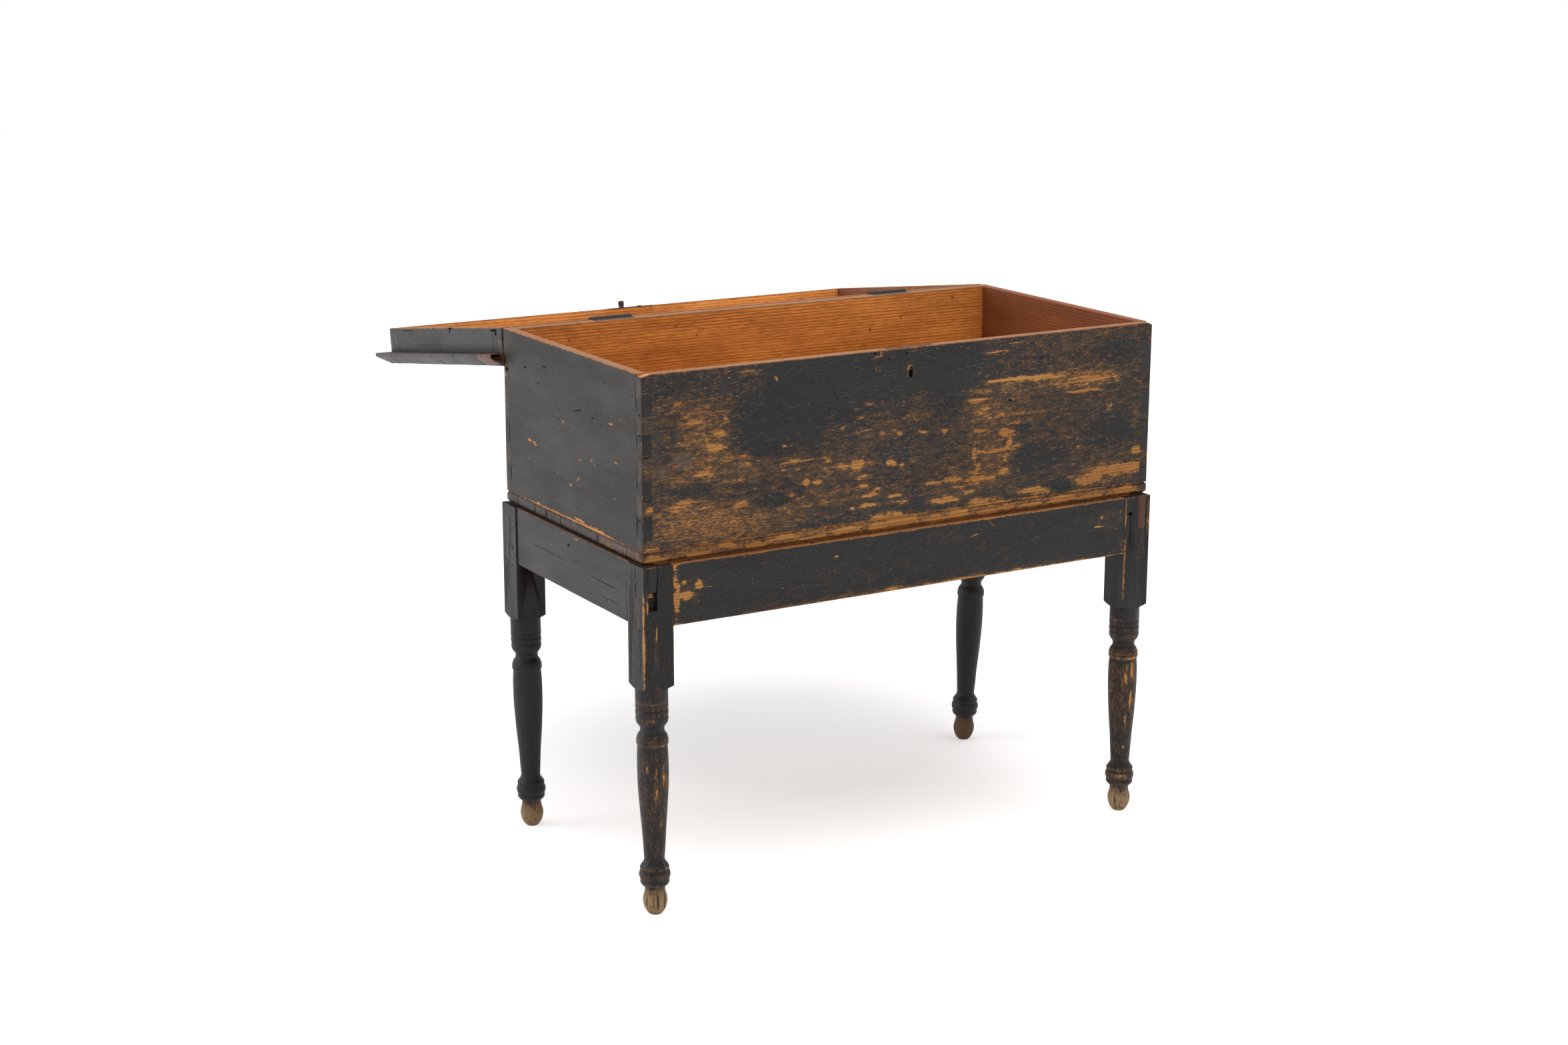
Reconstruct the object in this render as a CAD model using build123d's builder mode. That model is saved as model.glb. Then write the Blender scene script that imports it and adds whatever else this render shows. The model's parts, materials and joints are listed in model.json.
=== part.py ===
"""Sugar chest with a hinged lid, standing loose on a turned-leg stand.

Millimetres, +Z up.  X = 0 is the middle of the chest's length, Y = 0 is the hinge axis
of the lid (the front is towards -Y) and Z = 0 is the floor.  The lid stands open, with
its back edge resting against the back board.
"""
from build123d import *
from math import cos, radians, sin, sqrt
import os

# --------------------------------------------------------------------------- chest
chest_length = 950.0
chest_depth = 480.0
wall_height = 269.7        # the four walls, above the bottom
wall = 16.0                # front and side boards
back_wall = 18.0
rim_round = 1.0            # worn edges of the rim
bottom_thick = 19.0
bottom_round = 6.0         # bullnose round the bottom
bottom_front_seams = [145.0, 327.0]     # joints of the bottom boards, from the front
bottom_back_board = 29.0   # width of the last bottom board

# dovetails: the side boards carry the tails, as (top, bottom) measured below the rim
tail_taper = 3.5           # each edge of a tail closes in by this towards its root
tails_front_left = [(33.0, 63.0), (89.0, 122.0), (160.0, 186.5), (214.0, 252.0)]
tails_front_right = [(34.5, 84.0), (111.0, 149.0), (177.0, 214.0), (236.0, wall_height)]
tails_back = [(49.0, 95.0), (141.0, 189.0), (222.0, 252.0)]
chip_left = (18.0, 4.5)    # worn front corners of the rim: along the board, and down
chip_right = (8.0, 4.0)

# ----------------------------------------------------------------------------- lid
lid_rest_angle = 8.5       # the open lid slopes this much below level
lid_rail_height = 42.4
lid_rail_wall = 18.0
lid_front_reach = 4.2      # the lid's front rail stands this far ahead of the chest
lid_tail = 20.0            # single dovetail at each corner of the lid's rails
lid_tail_taper = 3.0
lid_top_thick = 20.3
lid_top_edge = 6.0         # thin edge of the bevelled top
lid_bevel_width = 20.7
lid_overhang_front = 23.0
lid_overhang_end = 22.0
lid_back_strip = 60.0
lid_seam = 0.3             # open joint between the two boards of the top
lid_stop_gap = 0.3         # left between the open lid and the back board

# -------------------------------------------------------------------------- hinges
hinge_positions = [-278.0, 268.5]
hinge_length = 76.0
hinge_leaf_width = 14.0    # on the rim, from the back face inwards
hinge_leaf_thick = 2.0
knuckle_count = 5
knuckle_radius = 4.0
knuckle_gap = 0.25         # between neighbouring knuckles
knuckle_clearance = 0.4    # from a leaf's edge to the other leaf's knuckles
pin_radius = 2.0
pin_running_fit = 0.05     # radial, in the lid's knuckles
hinge_screw_spacing = 24.0
screw_head_radius = 3.5
screw_shank_radius = 1.6
screw_length = 14.0
screw_slot_width = 0.8
screw_slot_depth = 0.7

# ---------------------------------------------------------------------------- lock
lock_shift = 1.25          # middle of the lock, right of the chest's middle
keyhole_shift = -0.5
keyhole_radius = 3.2
keyhole_slot = 3.8
keyhole_height = 15.3
keyhole_drop = 31.2        # from the rim to the top of the keyhole
lock_metal = 1.6           # lock plate and selvage
lock_plate_length = 84.0
lock_plate_height = 50.0
lock_case_length = 77.0
lock_case_height = 46.0
lock_case_wall = 1.5
selvage_length = 86.0
selvage_width = 11.0
selvage_sink = 0.6         # below the rim
link_spacing = 37.5        # between the two loops
loop_width = 9.0
loop_thick = 6.0
loop_neck = 6.8
loop_neck_height = 2.4
loop_shoulder = 4.4        # height where the loop has its full width again
loop_height = 13.0
loop_corner = 2.5
loop_eye_height = 7.5
loop_eye_radius = 2.3
notch_clearance = 0.7      # all round a loop in its notch
notch_back_clearance = 0.5
link_plate_length = 94.0
link_plate_width = 11.0
link_plate_thick = 1.6
link_plate_proud = 0.5
relief_clearance = 0.4     # all round the link plate in the rim of the chest
stump_height = 1.8         # what is left of the broken loop
stump_width = 7.0
link_nail_spacing = 84.0
link_nail_radius = 1.1
link_nail_length = 12.0
link_nail_head_radius = 2.4
link_nail_head_height = 0.9
bolt_travel = 6.5
bolt_thick = 2.8
bolt_bar_height = 10.0
bolt_bar_drop = 15.2       # from the rim to the top of the bar
bolt_riser_width = 5.0
tongue_height = 3.0
tongue_gap = 0.5           # between a drawn-back tongue and its loop
bolt_stop_gap = 0.3        # between a thrown riser and its loop
stud_radius = 2.0
stud_clearance = 0.2
stud_spacing = 20.0
talon_width = 7.0
talon_height = 2.5
key_pin_radius = 1.5
key_pin_inset = 1.0        # the key pin ends this far behind the front face
spring_thick = 0.8
spring_width = 4.0
spring_length = 9.0
spring_gap = 0.3           # under the bolt
lock_nail_radius = 1.0
lock_nail_length = 9.0
lock_nail_inset = 1.8

# --------------------------------------------------------------------------- stand
stand_extra_length = 5.0   # the stand is this much longer than the chest
stand_height = 560.5
stand_shift = -6.2         # the chest stands off centre on the stand
stand_front_ledge = 16.7   # the stand shows this far ahead of the chest
stand_back_ledge = 2.0     # and this far behind it
rail_height = 95.3
rail_thick = 25.4
front_rail_setback = 0.6
side_rail_setback = 1.8
leg_square = 51.0
leg_block_bottom = 366.0
lambs_tongue = 6.0         # height over which the square is turned down to the round
leg_foot_lean = {          # where each foot stands, from the middle of its block
    "front_left": (3.0, 0.0),
    "front_right": (4.0, 3.0),
    "back_left": (4.0, -1.0),
    "back_right": (-12.0, 2.0),
}
# turned leg below the block, as runs of (radius, height) with a crisp line between runs
turned_radius = 25.2
turned_bite = 0.8          # the round is let this far into the block's turned corners
leg_runs = [
    [(turned_radius, 344.4), (24.9, 344.0)],
    [(24.9, 344.0), (25.3, 342.0), (25.4, 339.0), (25.2, 335.8), (24.1, 334.0)],
    [(24.1, 334.0), (25.1, 332.0), (25.4, 328.5), (25.1, 324.8), (24.1, 322.6)],
    [(24.1, 322.6), (25.2, 320.6), (25.3, 317.6), (23.8, 311.7), (20.0, 306.3), (18.7, 300.5)],
    [(18.7, 300.5), (19.2, 296.8), (22.1, 292.6), (23.9, 288.0), (24.7, 284.4), (24.4, 283.0)],
    [(24.4, 283.0), (24.8, 281.4), (24.6, 278.2), (23.1, 275.0)],
    [(23.1, 275.0), (24.1, 260.0), (24.4, 240.0), (24.1, 220.0), (22.7, 191.0),
     (20.7, 162.0), (18.4, 133.0), (17.0, 108.0), (16.1, 94.0)],
    [(16.1, 94.0), (16.5, 87.6), (19.2, 82.6), (22.0, 78.9), (22.8, 76.2)],
    [(22.8, 76.2), (22.0, 72.6)],
    [(22.0, 72.6), (23.7, 69.2), (24.5, 65.0), (23.6, 60.2), (21.9, 56.8)],
    [(21.9, 56.8), (22.8, 53.4), (20.8, 48.9), (16.4, 44.6), (15.8, 41.5)],
    [(15.8, 41.5), (17.2, 33.4), (18.9, 26.4), (19.1, 22.0), (17.3, 12.0), (13.8, 4.8), (9.5, 0.0)],
]
foot_radius = 9.5

# joints of the stand, each measured in from the leg's outer faces
side_tenon = (8.5, 23.5)           # from the side face
side_tenon_root = 31.0             # depth, from the front or back face, of the full tenon
side_through = {-1: 39.0, 1: 56.0}  # height of the part that passes through, left and right
end_tenon = (10.0, 26.0)           # from the front or back face
end_tenon_root = 28.0
end_through = {-1: 46.0, 1: 37.0}
open_mortise = (39.0, 67.8)        # empty mortise of the front left leg, below the top
open_mortise_depth = 10.0
patch_bottom = 101.5               # patch of the front right leg, below the top
peg_radius = 3.5
peg_proud = 0.4
# pegs as (distance from the leg's other face, height below the top, depth)
side_pegs = [(43.2, 29.5, 38.0), (43.2, 82.5, 38.0), (21.0, 23.5, 26.0)]
end_pegs = [(40.6, 28.5, 38.0), (16.7, 75.9, 30.0)]
crack_width = 2.4                  # split below the empty peg hole of the front right leg
crack_length = 47.0
crack_depth = 9.0

# ------------------------------------------------------------------ derived places
LEFT, RIGHT = -1, 1
FRONT, BACK = -1, 1
rest = radians(lid_rest_angle)
lid_height = lid_rail_height + lid_top_thick
barrel_offset = (lid_height * sin(rest) + lid_stop_gap) / (1 + cos(rest))
chest_back_y = -barrel_offset
chest_front_y = chest_back_y - chest_depth
inner_front_y = chest_front_y + wall
inner_back_y = chest_back_y - back_wall
half_length = chest_length / 2
floor_z = stand_height + bottom_thick          # inside floor of the chest
rim_z = floor_z + wall_height
lid_front_y = chest_front_y - lid_front_reach
lid_inner_y = lid_front_y + lid_rail_wall

loop_y = lid_inner_y - notch_back_clearance / 2 - loop_thick / 2
loop_xs = [lock_shift - link_spacing / 2, lock_shift + link_spacing / 2]
lock_inner_y = inner_front_y                    # lock plate is flush inside
plate_front_y = lock_inner_y - lock_metal
lock_front_y = inner_front_y - selvage_width
selvage_top = rim_z - selvage_sink
selvage_bottom = selvage_top - lock_metal
case_bottom = selvage_bottom - lock_case_height
bar_top = rim_z - bolt_bar_drop
bar_bottom = bar_top - bolt_bar_height
tongue_z = rim_z - loop_eye_height
relief_length = link_plate_length + 2 * relief_clearance
keyhole_top = rim_z - keyhole_drop
key_pin_z = keyhole_top - keyhole_radius

knuckle_length = (hinge_length - (knuckle_count - 1) * knuckle_gap) / knuckle_count
hinge_screw_y = (chest_back_y - hinge_leaf_width - knuckle_radius - knuckle_clearance) / 2
hinge_screw_xs = [-hinge_screw_spacing, 0.0, hinge_screw_spacing]
screw_head_height = screw_head_radius - screw_shank_radius

stand_front_y = chest_front_y - stand_front_ledge
stand_length = chest_length + stand_extra_length
stand_depth = chest_depth + stand_front_ledge + stand_back_ledge
side_face = {LEFT: stand_shift - stand_length / 2, RIGHT: stand_shift + stand_length / 2}
end_face = {FRONT: stand_front_y, BACK: stand_front_y + stand_depth}
rail_bottom = stand_height - rail_height
corners = {
    "front_left": (LEFT, FRONT),
    "front_right": (RIGHT, FRONT),
    "back_left": (LEFT, BACK),
    "back_right": (RIGHT, BACK),
}

# the lid is drawn as it lies closed, on a plane that is turned about the hinge axis
lid_plane = Plane(origin=(0, 0, rim_z), x_dir=(1, 0, 0), z_dir=(0, -sin(rest), -cos(rest)))
lid_up = Axis((0, 0, 0), lid_plane.z_dir)
lid_back = Axis((0, 0, 0), lid_plane.y_dir)

CENTRED = Align.CENTER
UP = (CENTRED, CENTRED, Align.MIN)
DOWN = (CENTRED, CENTRED, Align.MAX)
ALONG_X = (0, 90, 0)
ALONG_Y = (90, 0, 0)
os.makedirs("parts", exist_ok=True)


def on_lid(plane):
    """A plane of the closed lid's own frame, as it stands with the lid open."""
    return Plane(lid_plane.location * plane.location)


def span_box(x, y, z, mode=Mode.ADD):
    """A box given by where it starts and ends along each axis."""
    with Locations(((x[0] + x[1]) / 2, (y[0] + y[1]) / 2, (z[0] + z[1]) / 2)):
        Box(abs(x[1] - x[0]), abs(y[1] - y[0]), abs(z[1] - z[0]), mode=mode)


def save(builder, name):
    """Label a finished piece and write it to its own STEP file."""
    builder.part.label = name
    export_step(builder.part, f"parts/{name}.step")


def draw_tails(tails, root_y, end_y):
    """Outlines of the dovetails of one corner, in a sketch whose axes are Y and Z."""
    for top, bottom in tails:
        root_bottom = bottom - tail_taper if bottom < wall_height else bottom
        Polygon(
            (root_y, rim_z - top - tail_taper),
            (end_y, rim_z - top),
            (end_y, rim_z - bottom),
            (root_y, rim_z - root_bottom),
            align=None,
        )


def from_side(side, distance):
    """X of a point this far in from a leg's outer side face."""
    return side_face[side] - side * distance


def from_end(end, distance):
    """Y of a point this far in from a leg's front or back face."""
    return end_face[end] - end * distance


def side_tenon_spans(side, end):
    """The side rail's tenon in one leg: a full-height root and a haunched through part."""
    x = (from_side(side, side_tenon[0]), from_side(side, side_tenon[1]))
    root = (x, (from_end(end, side_tenon_root), from_end(end, leg_square)),
            (rail_bottom, stand_height))
    through = (x, (from_end(end, 0), from_end(end, side_tenon_root)),
               (stand_height - side_through[side], stand_height))
    return [root, through]


def end_tenon_spans(side, end):
    """The front or back rail's tenon in one leg, with its through part below."""
    y = (from_end(end, end_tenon[0]), from_end(end, end_tenon[1]))
    root = ((from_side(side, end_tenon_root), from_side(side, leg_square)), y,
            (rail_bottom, stand_height))
    through = ((from_side(side, 0), from_side(side, end_tenon_root)), y,
               (rail_bottom, rail_bottom + end_through[side]))
    return [root, through]


def peg_seats(side, end):
    """Planes and depths of the pegs of one leg, each plane facing into the wood."""
    seats = []
    for inset, drop, depth in side_pegs:
        seat = Plane((side_face[side], from_end(end, inset), stand_height - drop), z_dir=(-side, 0, 0))
        seats.append((seat, depth))
    for inset, drop, depth in end_pegs:
        seat = Plane((from_side(side, inset), end_face[end], stand_height - drop), z_dir=(0, -end, 0))
        seats.append((seat, depth))
    return seats


def drill_pegs(side, end):
    for seat, depth in peg_seats(side, end):
        with Locations(seat):
            Cylinder(peg_radius, depth, align=UP, mode=Mode.SUBTRACT)


# =========================================================================== chest
walls_z = (floor_z, rim_z)

with BuildPart() as chest_front:
    span_box((-half_length, half_length), (chest_front_y, inner_front_y), walls_z)
    rim_edges = chest_front.faces().sort_by(Axis.Z)[-1].edges().filter_by(Axis.X)
    fillet(rim_edges, radius=rim_round)
    with BuildSketch(Plane.YZ.offset(-half_length)):
        draw_tails(tails_front_left, inner_front_y, chest_front_y)
    extrude(amount=wall, mode=Mode.SUBTRACT)
    with BuildSketch(Plane.YZ.offset(half_length - wall)):
        draw_tails(tails_front_right, inner_front_y, chest_front_y)
    extrude(amount=wall, mode=Mode.SUBTRACT)
    # worn corners of the rim
    with BuildSketch(Plane.XZ.offset(-chest_front_y)):
        Polygon((-half_length, rim_z), (-half_length + chip_left[0], rim_z),
                (-half_length, rim_z - chip_left[1]), align=None)
        Polygon((half_length, rim_z), (half_length - chip_right[0], rim_z),
                (half_length, rim_z - chip_right[1]), align=None)
    extrude(amount=-wall, mode=Mode.SUBTRACT)
    # shallow relief that takes the closed lid's link plate, then the seats of the selvage and
    # of the lock plate, and the pocket of the case
    span_box((lock_shift - relief_length / 2, lock_shift + relief_length / 2),
             (lid_inner_y - link_plate_width - relief_clearance, inner_front_y),
             (selvage_top, rim_z), mode=Mode.SUBTRACT)
    span_box((lock_shift - selvage_length / 2, lock_shift + selvage_length / 2),
             (lock_front_y, inner_front_y), (selvage_bottom, selvage_top), mode=Mode.SUBTRACT)
    span_box((lock_shift - lock_plate_length / 2, lock_shift + lock_plate_length / 2),
             (plate_front_y, inner_front_y), (selvage_bottom - lock_plate_height, selvage_bottom),
             mode=Mode.SUBTRACT)
    span_box((lock_shift - lock_case_length / 2, lock_shift + lock_case_length / 2),
             (lock_front_y, inner_front_y), (case_bottom, selvage_bottom), mode=Mode.SUBTRACT)
    # keyhole
    with BuildSketch(Plane.XZ.offset(-chest_front_y)):
        with Locations((keyhole_shift, key_pin_z)):
            Circle(keyhole_radius)
            Rectangle(keyhole_slot, keyhole_height - keyhole_radius, align=(CENTRED, Align.MAX))
    extrude(amount=-wall, mode=Mode.SUBTRACT)
    # holes of the lock nails
    lock_nail_places = [
        (lock_shift + sx * (lock_plate_length / 2 - lock_nail_inset), plate_front_y,
         selvage_bottom - lock_plate_height / 2 + sz * (lock_plate_height / 2 - lock_nail_inset))
        for sx in (LEFT, RIGHT) for sz in (-1, 1)
    ]
    with Locations(*lock_nail_places):
        Cylinder(lock_nail_radius, lock_nail_length, rotation=ALONG_Y, align=UP, mode=Mode.SUBTRACT)
save(chest_front, "chest_front")

with BuildPart() as chest_back:
    span_box((-half_length, half_length), (inner_back_y, chest_back_y), walls_z)
    rim_edges = chest_back.faces().sort_by(Axis.Z)[-1].edges().filter_by(Axis.X)
    fillet(rim_edges, radius=rim_round)
    for outer_x in (-half_length, half_length - wall):
        with BuildSketch(Plane.YZ.offset(outer_x)):
            draw_tails(tails_back, inner_back_y, chest_back_y)
        extrude(amount=wall, mode=Mode.SUBTRACT)
    for hinge_x in hinge_positions:
        span_box((hinge_x - hinge_length / 2, hinge_x + hinge_length / 2),
                 (chest_back_y - hinge_leaf_width, chest_back_y),
                 (rim_z - hinge_leaf_thick, rim_z), mode=Mode.SUBTRACT)
        with Locations(*[(hinge_x + x, hinge_screw_y, rim_z) for x in hinge_screw_xs]):
            Cylinder(screw_shank_radius, screw_length, align=DOWN, mode=Mode.SUBTRACT)
save(chest_back, "chest_back")

with BuildPart() as chest_left_side:
    span_box((-half_length, -half_length + wall), (inner_front_y, inner_back_y), walls_z)
    rim_edges = chest_left_side.faces().sort_by(Axis.Z)[-1].edges().filter_by(Axis.Y)
    fillet(rim_edges, radius=rim_round)
    with BuildSketch(Plane.YZ.offset(-half_length)):
        draw_tails(tails_front_left, inner_front_y, chest_front_y)
        draw_tails(tails_back, inner_back_y, chest_back_y)
    extrude(amount=wall)
save(chest_left_side, "chest_left_side")

with BuildPart() as chest_right_side:
    span_box((half_length - wall, half_length), (inner_front_y, inner_back_y), walls_z)
    rim_edges = chest_right_side.faces().sort_by(Axis.Z)[-1].edges().filter_by(Axis.Y)
    fillet(rim_edges, radius=rim_round)
    with BuildSketch(Plane.YZ.offset(half_length - wall)):
        draw_tails(tails_front_right, inner_front_y, chest_front_y)
        draw_tails(tails_back, inner_back_y, chest_back_y)
    extrude(amount=wall)
save(chest_right_side, "chest_right_side")

bottom_lines = [0.0] + bottom_front_seams + [chest_depth - bottom_back_board, chest_depth]
for number in range(1, len(bottom_lines)):
    with BuildPart() as bottom_board:
        span_box((-half_length, half_length),
                 (chest_front_y + bottom_lines[number - 1], chest_front_y + bottom_lines[number]),
                 (stand_height, floor_z))
        outer = bottom_board.faces().sort_by(Axis.X)[0].edges().filter_by(Axis.Y)
        outer += bottom_board.faces().sort_by(Axis.X)[-1].edges().filter_by(Axis.Y)
        if number == 1:
            outer += bottom_board.faces().sort_by(Axis.Y)[0].edges().filter_by(Axis.X)
        if number == len(bottom_lines) - 1:
            outer += bottom_board.faces().sort_by(Axis.Y)[-1].edges().filter_by(Axis.X)
        fillet(outer, radius=bottom_round)
    save(bottom_board, f"bottom_board_{number}")

# ============================================================================ lock
case_x = (lock_shift - lock_case_length / 2, lock_shift + lock_case_length / 2)
case_inner_x = (case_x[0] + lock_case_wall, case_x[1] - lock_case_wall)
stud_xs = [lock_shift - stud_spacing / 2 + bolt_travel, lock_shift + stud_spacing / 2 + bolt_travel]
stud_z = (bar_top + bar_bottom) / 2

with BuildPart() as lock_case:
    span_box((lock_shift - lock_plate_length / 2, lock_shift + lock_plate_length / 2),
             (plate_front_y, lock_inner_y), (selvage_bottom - lock_plate_height, selvage_bottom))
    span_box(case_x, (lock_front_y, plate_front_y), (case_bottom, selvage_bottom))
    span_box(case_inner_x, (lock_front_y, plate_front_y),
             (case_bottom + lock_case_wall, selvage_bottom), mode=Mode.SUBTRACT)
    with Locations(*[(x, plate_front_y, stud_z) for x in stud_xs]):
        Cylinder(stud_radius, plate_front_y - loop_y + bolt_thick, rotation=ALONG_Y, align=UP)
    with Locations(*[(x, lock_inner_y, z) for x, y, z in lock_nail_places]):
        Cylinder(lock_nail_radius, lock_metal, rotation=ALONG_Y, align=UP, mode=Mode.SUBTRACT)
    with Locations((keyhole_shift, lock_inner_y, key_pin_z)):
        Cylinder(key_pin_radius, lock_metal, rotation=ALONG_Y, align=UP, mode=Mode.SUBTRACT)
save(lock_case, "lock_case")

notch_depth = inner_front_y - (loop_y - loop_thick / 2 - notch_back_clearance)
with BuildPart() as lock_selvage:
    span_box((lock_shift - selvage_length / 2, lock_shift + selvage_length / 2),
             (lock_front_y, inner_front_y), (selvage_bottom, selvage_top))
    for loop_x in loop_xs:
        span_box((loop_x - loop_width / 2 - notch_clearance, loop_x + loop_width / 2 + notch_clearance),
                 (inner_front_y - notch_depth, inner_front_y), (selvage_bottom, selvage_top),
                 mode=Mode.SUBTRACT)
save(lock_selvage, "lock_selvage")

with BuildPart() as lock_nails:
    with Locations(*[(x, lock_inner_y, z) for x, y, z in lock_nail_places]):
        Cylinder(lock_nail_radius, lock_nail_length + lock_metal, rotation=ALONG_Y, align=UP)
save(lock_nails, "lock_nails")

with BuildPart() as lock_key_pin:
    with Locations((keyhole_shift, lock_inner_y, key_pin_z)):
        Cylinder(key_pin_radius, lock_inner_y - chest_front_y - key_pin_inset,
                 rotation=ALONG_Y, align=UP)
save(lock_key_pin, "lock_key_pin")

# the bolt is drawn back: each riser clears its loop by the travel and the stop gap
tongue_starts = [x + loop_width / 2 + tongue_gap for x in loop_xs]
riser_starts = [x + loop_width / 2 + bolt_travel + bolt_stop_gap for x in loop_xs]
with BuildPart() as lock_bolt:
    bolt_y = (loop_y - bolt_thick / 2, loop_y + bolt_thick / 2)
    span_box((riser_starts[0], riser_starts[1] + bolt_riser_width), bolt_y, (bar_bottom, bar_top))
    for tongue_x, riser_x in zip(tongue_starts, riser_starts):
        span_box((riser_x, riser_x + bolt_riser_width), bolt_y, (bar_top, tongue_z + tongue_height / 2))
        span_box((tongue_x, riser_x), bolt_y, (tongue_z - tongue_height / 2, tongue_z + tongue_height / 2))
    # slots that run on the studs of the case
    slot_radius = stud_radius + stud_clearance
    for stud_x in stud_xs:
        with Locations((stud_x, loop_y, stud_z), (stud_x + bolt_travel, loop_y, stud_z)):
            Cylinder(slot_radius, bolt_thick, rotation=ALONG_Y, mode=Mode.SUBTRACT)
        span_box((stud_x, stud_x + bolt_travel), bolt_y, (stud_z - slot_radius, stud_z + slot_radius),
                 mode=Mode.SUBTRACT)
    # talon for the key
    span_box((keyhole_shift - talon_width / 2, keyhole_shift + talon_width / 2), bolt_y,
             (bar_bottom, bar_bottom + talon_height), mode=Mode.SUBTRACT)
save(lock_bolt, "lock_bolt")

# leaf spring: a foot on the bottom of the case, a bend, and a leaf under the bolt
spring_foot_z = case_bottom + lock_case_wall + spring_thick / 2
spring_top_z = bar_bottom - spring_gap - spring_thick / 2
spring_bend = (spring_top_z - spring_foot_z) / 2
spring_x = case_inner_x[1] - spring_gap - spring_thick / 2 - spring_bend
with BuildPart() as lock_spring:
    with BuildSketch(Plane.XZ.offset(-loop_y)):
        with BuildLine():
            foot = Line((spring_x - spring_length, spring_foot_z), (spring_x, spring_foot_z))
            bend = ThreePointArc((spring_x, spring_foot_z),
                                 (spring_x + spring_bend, spring_foot_z + spring_bend),
                                 (spring_x, spring_top_z))
            leaf = Line((spring_x, spring_top_z), (spring_x - spring_length, spring_top_z))
        trace(line_width=spring_thick)
    extrude(amount=spring_width / 2, both=True)
save(lock_spring, "lock_spring")

# ========================================================================== hinges
box_knuckles = range(0, knuckle_count, 2)
lid_knuckles = range(1, knuckle_count, 2)


def knuckle_span(number):
    start = -hinge_length / 2 + number * (knuckle_length + knuckle_gap)
    return (start, start + knuckle_length)


def hinge_plane(hinge_x, on_the_lid):
    """Plane of a leaf's outer face: origin on the hinge axis, +Z out of the wood."""
    if on_the_lid:
        return Plane((hinge_x, 0, rim_z), x_dir=(-1, 0, 0), z_dir=(0, sin(rest), cos(rest)))
    return Plane((hinge_x, 0, rim_z))


def make_leaf(name, hinge_x, on_the_lid, knuckles, bore):
    with BuildPart(hinge_plane(hinge_x, on_the_lid)) as leaf:
        leaf_z = (-hinge_leaf_thick, 0)
        edge_y = -knuckle_radius - knuckle_clearance
        span_box((-hinge_length / 2, hinge_length / 2), (chest_back_y - hinge_leaf_width, edge_y), leaf_z)
        for number in knuckles:
            x = knuckle_span(number)
            span_box(x, (edge_y, 0), leaf_z)
            with Locations(((x[0] + x[1]) / 2, 0, 0)):
                Cylinder(knuckle_radius, knuckle_length, rotation=ALONG_X)
        Cylinder(bore, hinge_length, rotation=ALONG_X, mode=Mode.SUBTRACT)
        with Locations(*[(x, hinge_screw_y, 0) for x in hinge_screw_xs]):
            Cone(screw_shank_radius, screw_head_radius, screw_head_height, align=DOWN, mode=Mode.SUBTRACT)
            Cylinder(screw_shank_radius, hinge_leaf_thick, align=DOWN, mode=Mode.SUBTRACT)
    save(leaf, name)


def make_screws(name, on_the_lid):
    with BuildPart() as screws:
        for hinge_x in hinge_positions:
            plane = hinge_plane(hinge_x, on_the_lid)
            for x in hinge_screw_xs:
                with Locations(plane.location * Location((x, hinge_screw_y, 0))):
                    Cone(screw_shank_radius, screw_head_radius, screw_head_height, align=DOWN)
                    Cylinder(screw_shank_radius, screw_length, align=DOWN)
                    Box(2 * screw_head_radius, screw_slot_width, screw_slot_depth,
                        align=DOWN, mode=Mode.SUBTRACT)
    save(screws, name)


for side_name, hinge_x in zip(("left", "right"), hinge_positions):
    make_leaf(f"hinge_{side_name}_box_leaf", hinge_x, False, box_knuckles, pin_radius)
    make_leaf(f"hinge_{side_name}_lid_leaf", hinge_x, True, lid_knuckles, pin_radius + pin_running_fit)
    with BuildPart() as hinge_pin:
        with Locations((hinge_x, 0, rim_z)):
            Cylinder(pin_radius, hinge_length, rotation=ALONG_X)
    save(hinge_pin, f"hinge_{side_name}_pin")
make_screws("hinge_screws_box", False)
make_screws("hinge_screws_lid", True)

# ============================================================================= lid
top_z = (lid_rail_height, lid_height)
top_front_y = lid_front_y - lid_overhang_front
strip_front_y = chest_back_y - lid_back_strip
top_x = (-half_length - lid_overhang_end, half_length + lid_overhang_end)
bevel_drop = lid_top_thick - lid_top_edge

with BuildPart(lid_plane) as lid_top_board:
    span_box(top_x, (top_front_y, strip_front_y - lid_seam), top_z)
    outer_face = lid_top_board.faces().sort_by(lid_up)[-1]
    ends = [outer_face.edges().sort_by(Axis.X)[0], outer_face.edges().sort_by(Axis.X)[-1]]
    front = outer_face.edges().sort_by(lid_back)[0]
    chamfer(ends + [front], length=lid_bevel_width, length2=bevel_drop, reference=outer_face)
save(lid_top_board, "lid_top_board")

with BuildPart(lid_plane) as lid_back_strip_board:
    span_box(top_x, (strip_front_y, chest_back_y), top_z)
    outer_face = lid_back_strip_board.faces().sort_by(lid_up)[-1]
    ends = [outer_face.edges().sort_by(Axis.X)[0], outer_face.edges().sort_by(Axis.X)[-1]]
    chamfer(ends, length=lid_bevel_width, length2=bevel_drop, reference=outer_face)
save(lid_back_strip_board, "lid_back_strip")

lid_back_inner_y = chest_back_y - lid_rail_wall
lid_rails_z = (0, lid_rail_height)


def draw_lid_tails():
    """The single dovetail at each end of a side rail, in a sketch of Y and Z."""
    for root_y, end_y in ((lid_inner_y, lid_front_y), (lid_back_inner_y, chest_back_y)):
        Polygon((root_y, 0), (end_y, 0), (end_y, lid_tail), (root_y, lid_tail - lid_tail_taper), align=None)


def cut_lid_tails():
    for outer_x in (-half_length, half_length - lid_rail_wall):
        with BuildSketch(on_lid(Plane.YZ.offset(outer_x))) as sockets:
            draw_lid_tails()
        extrude(sockets.sketch, amount=lid_rail_wall, mode=Mode.SUBTRACT)


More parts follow.
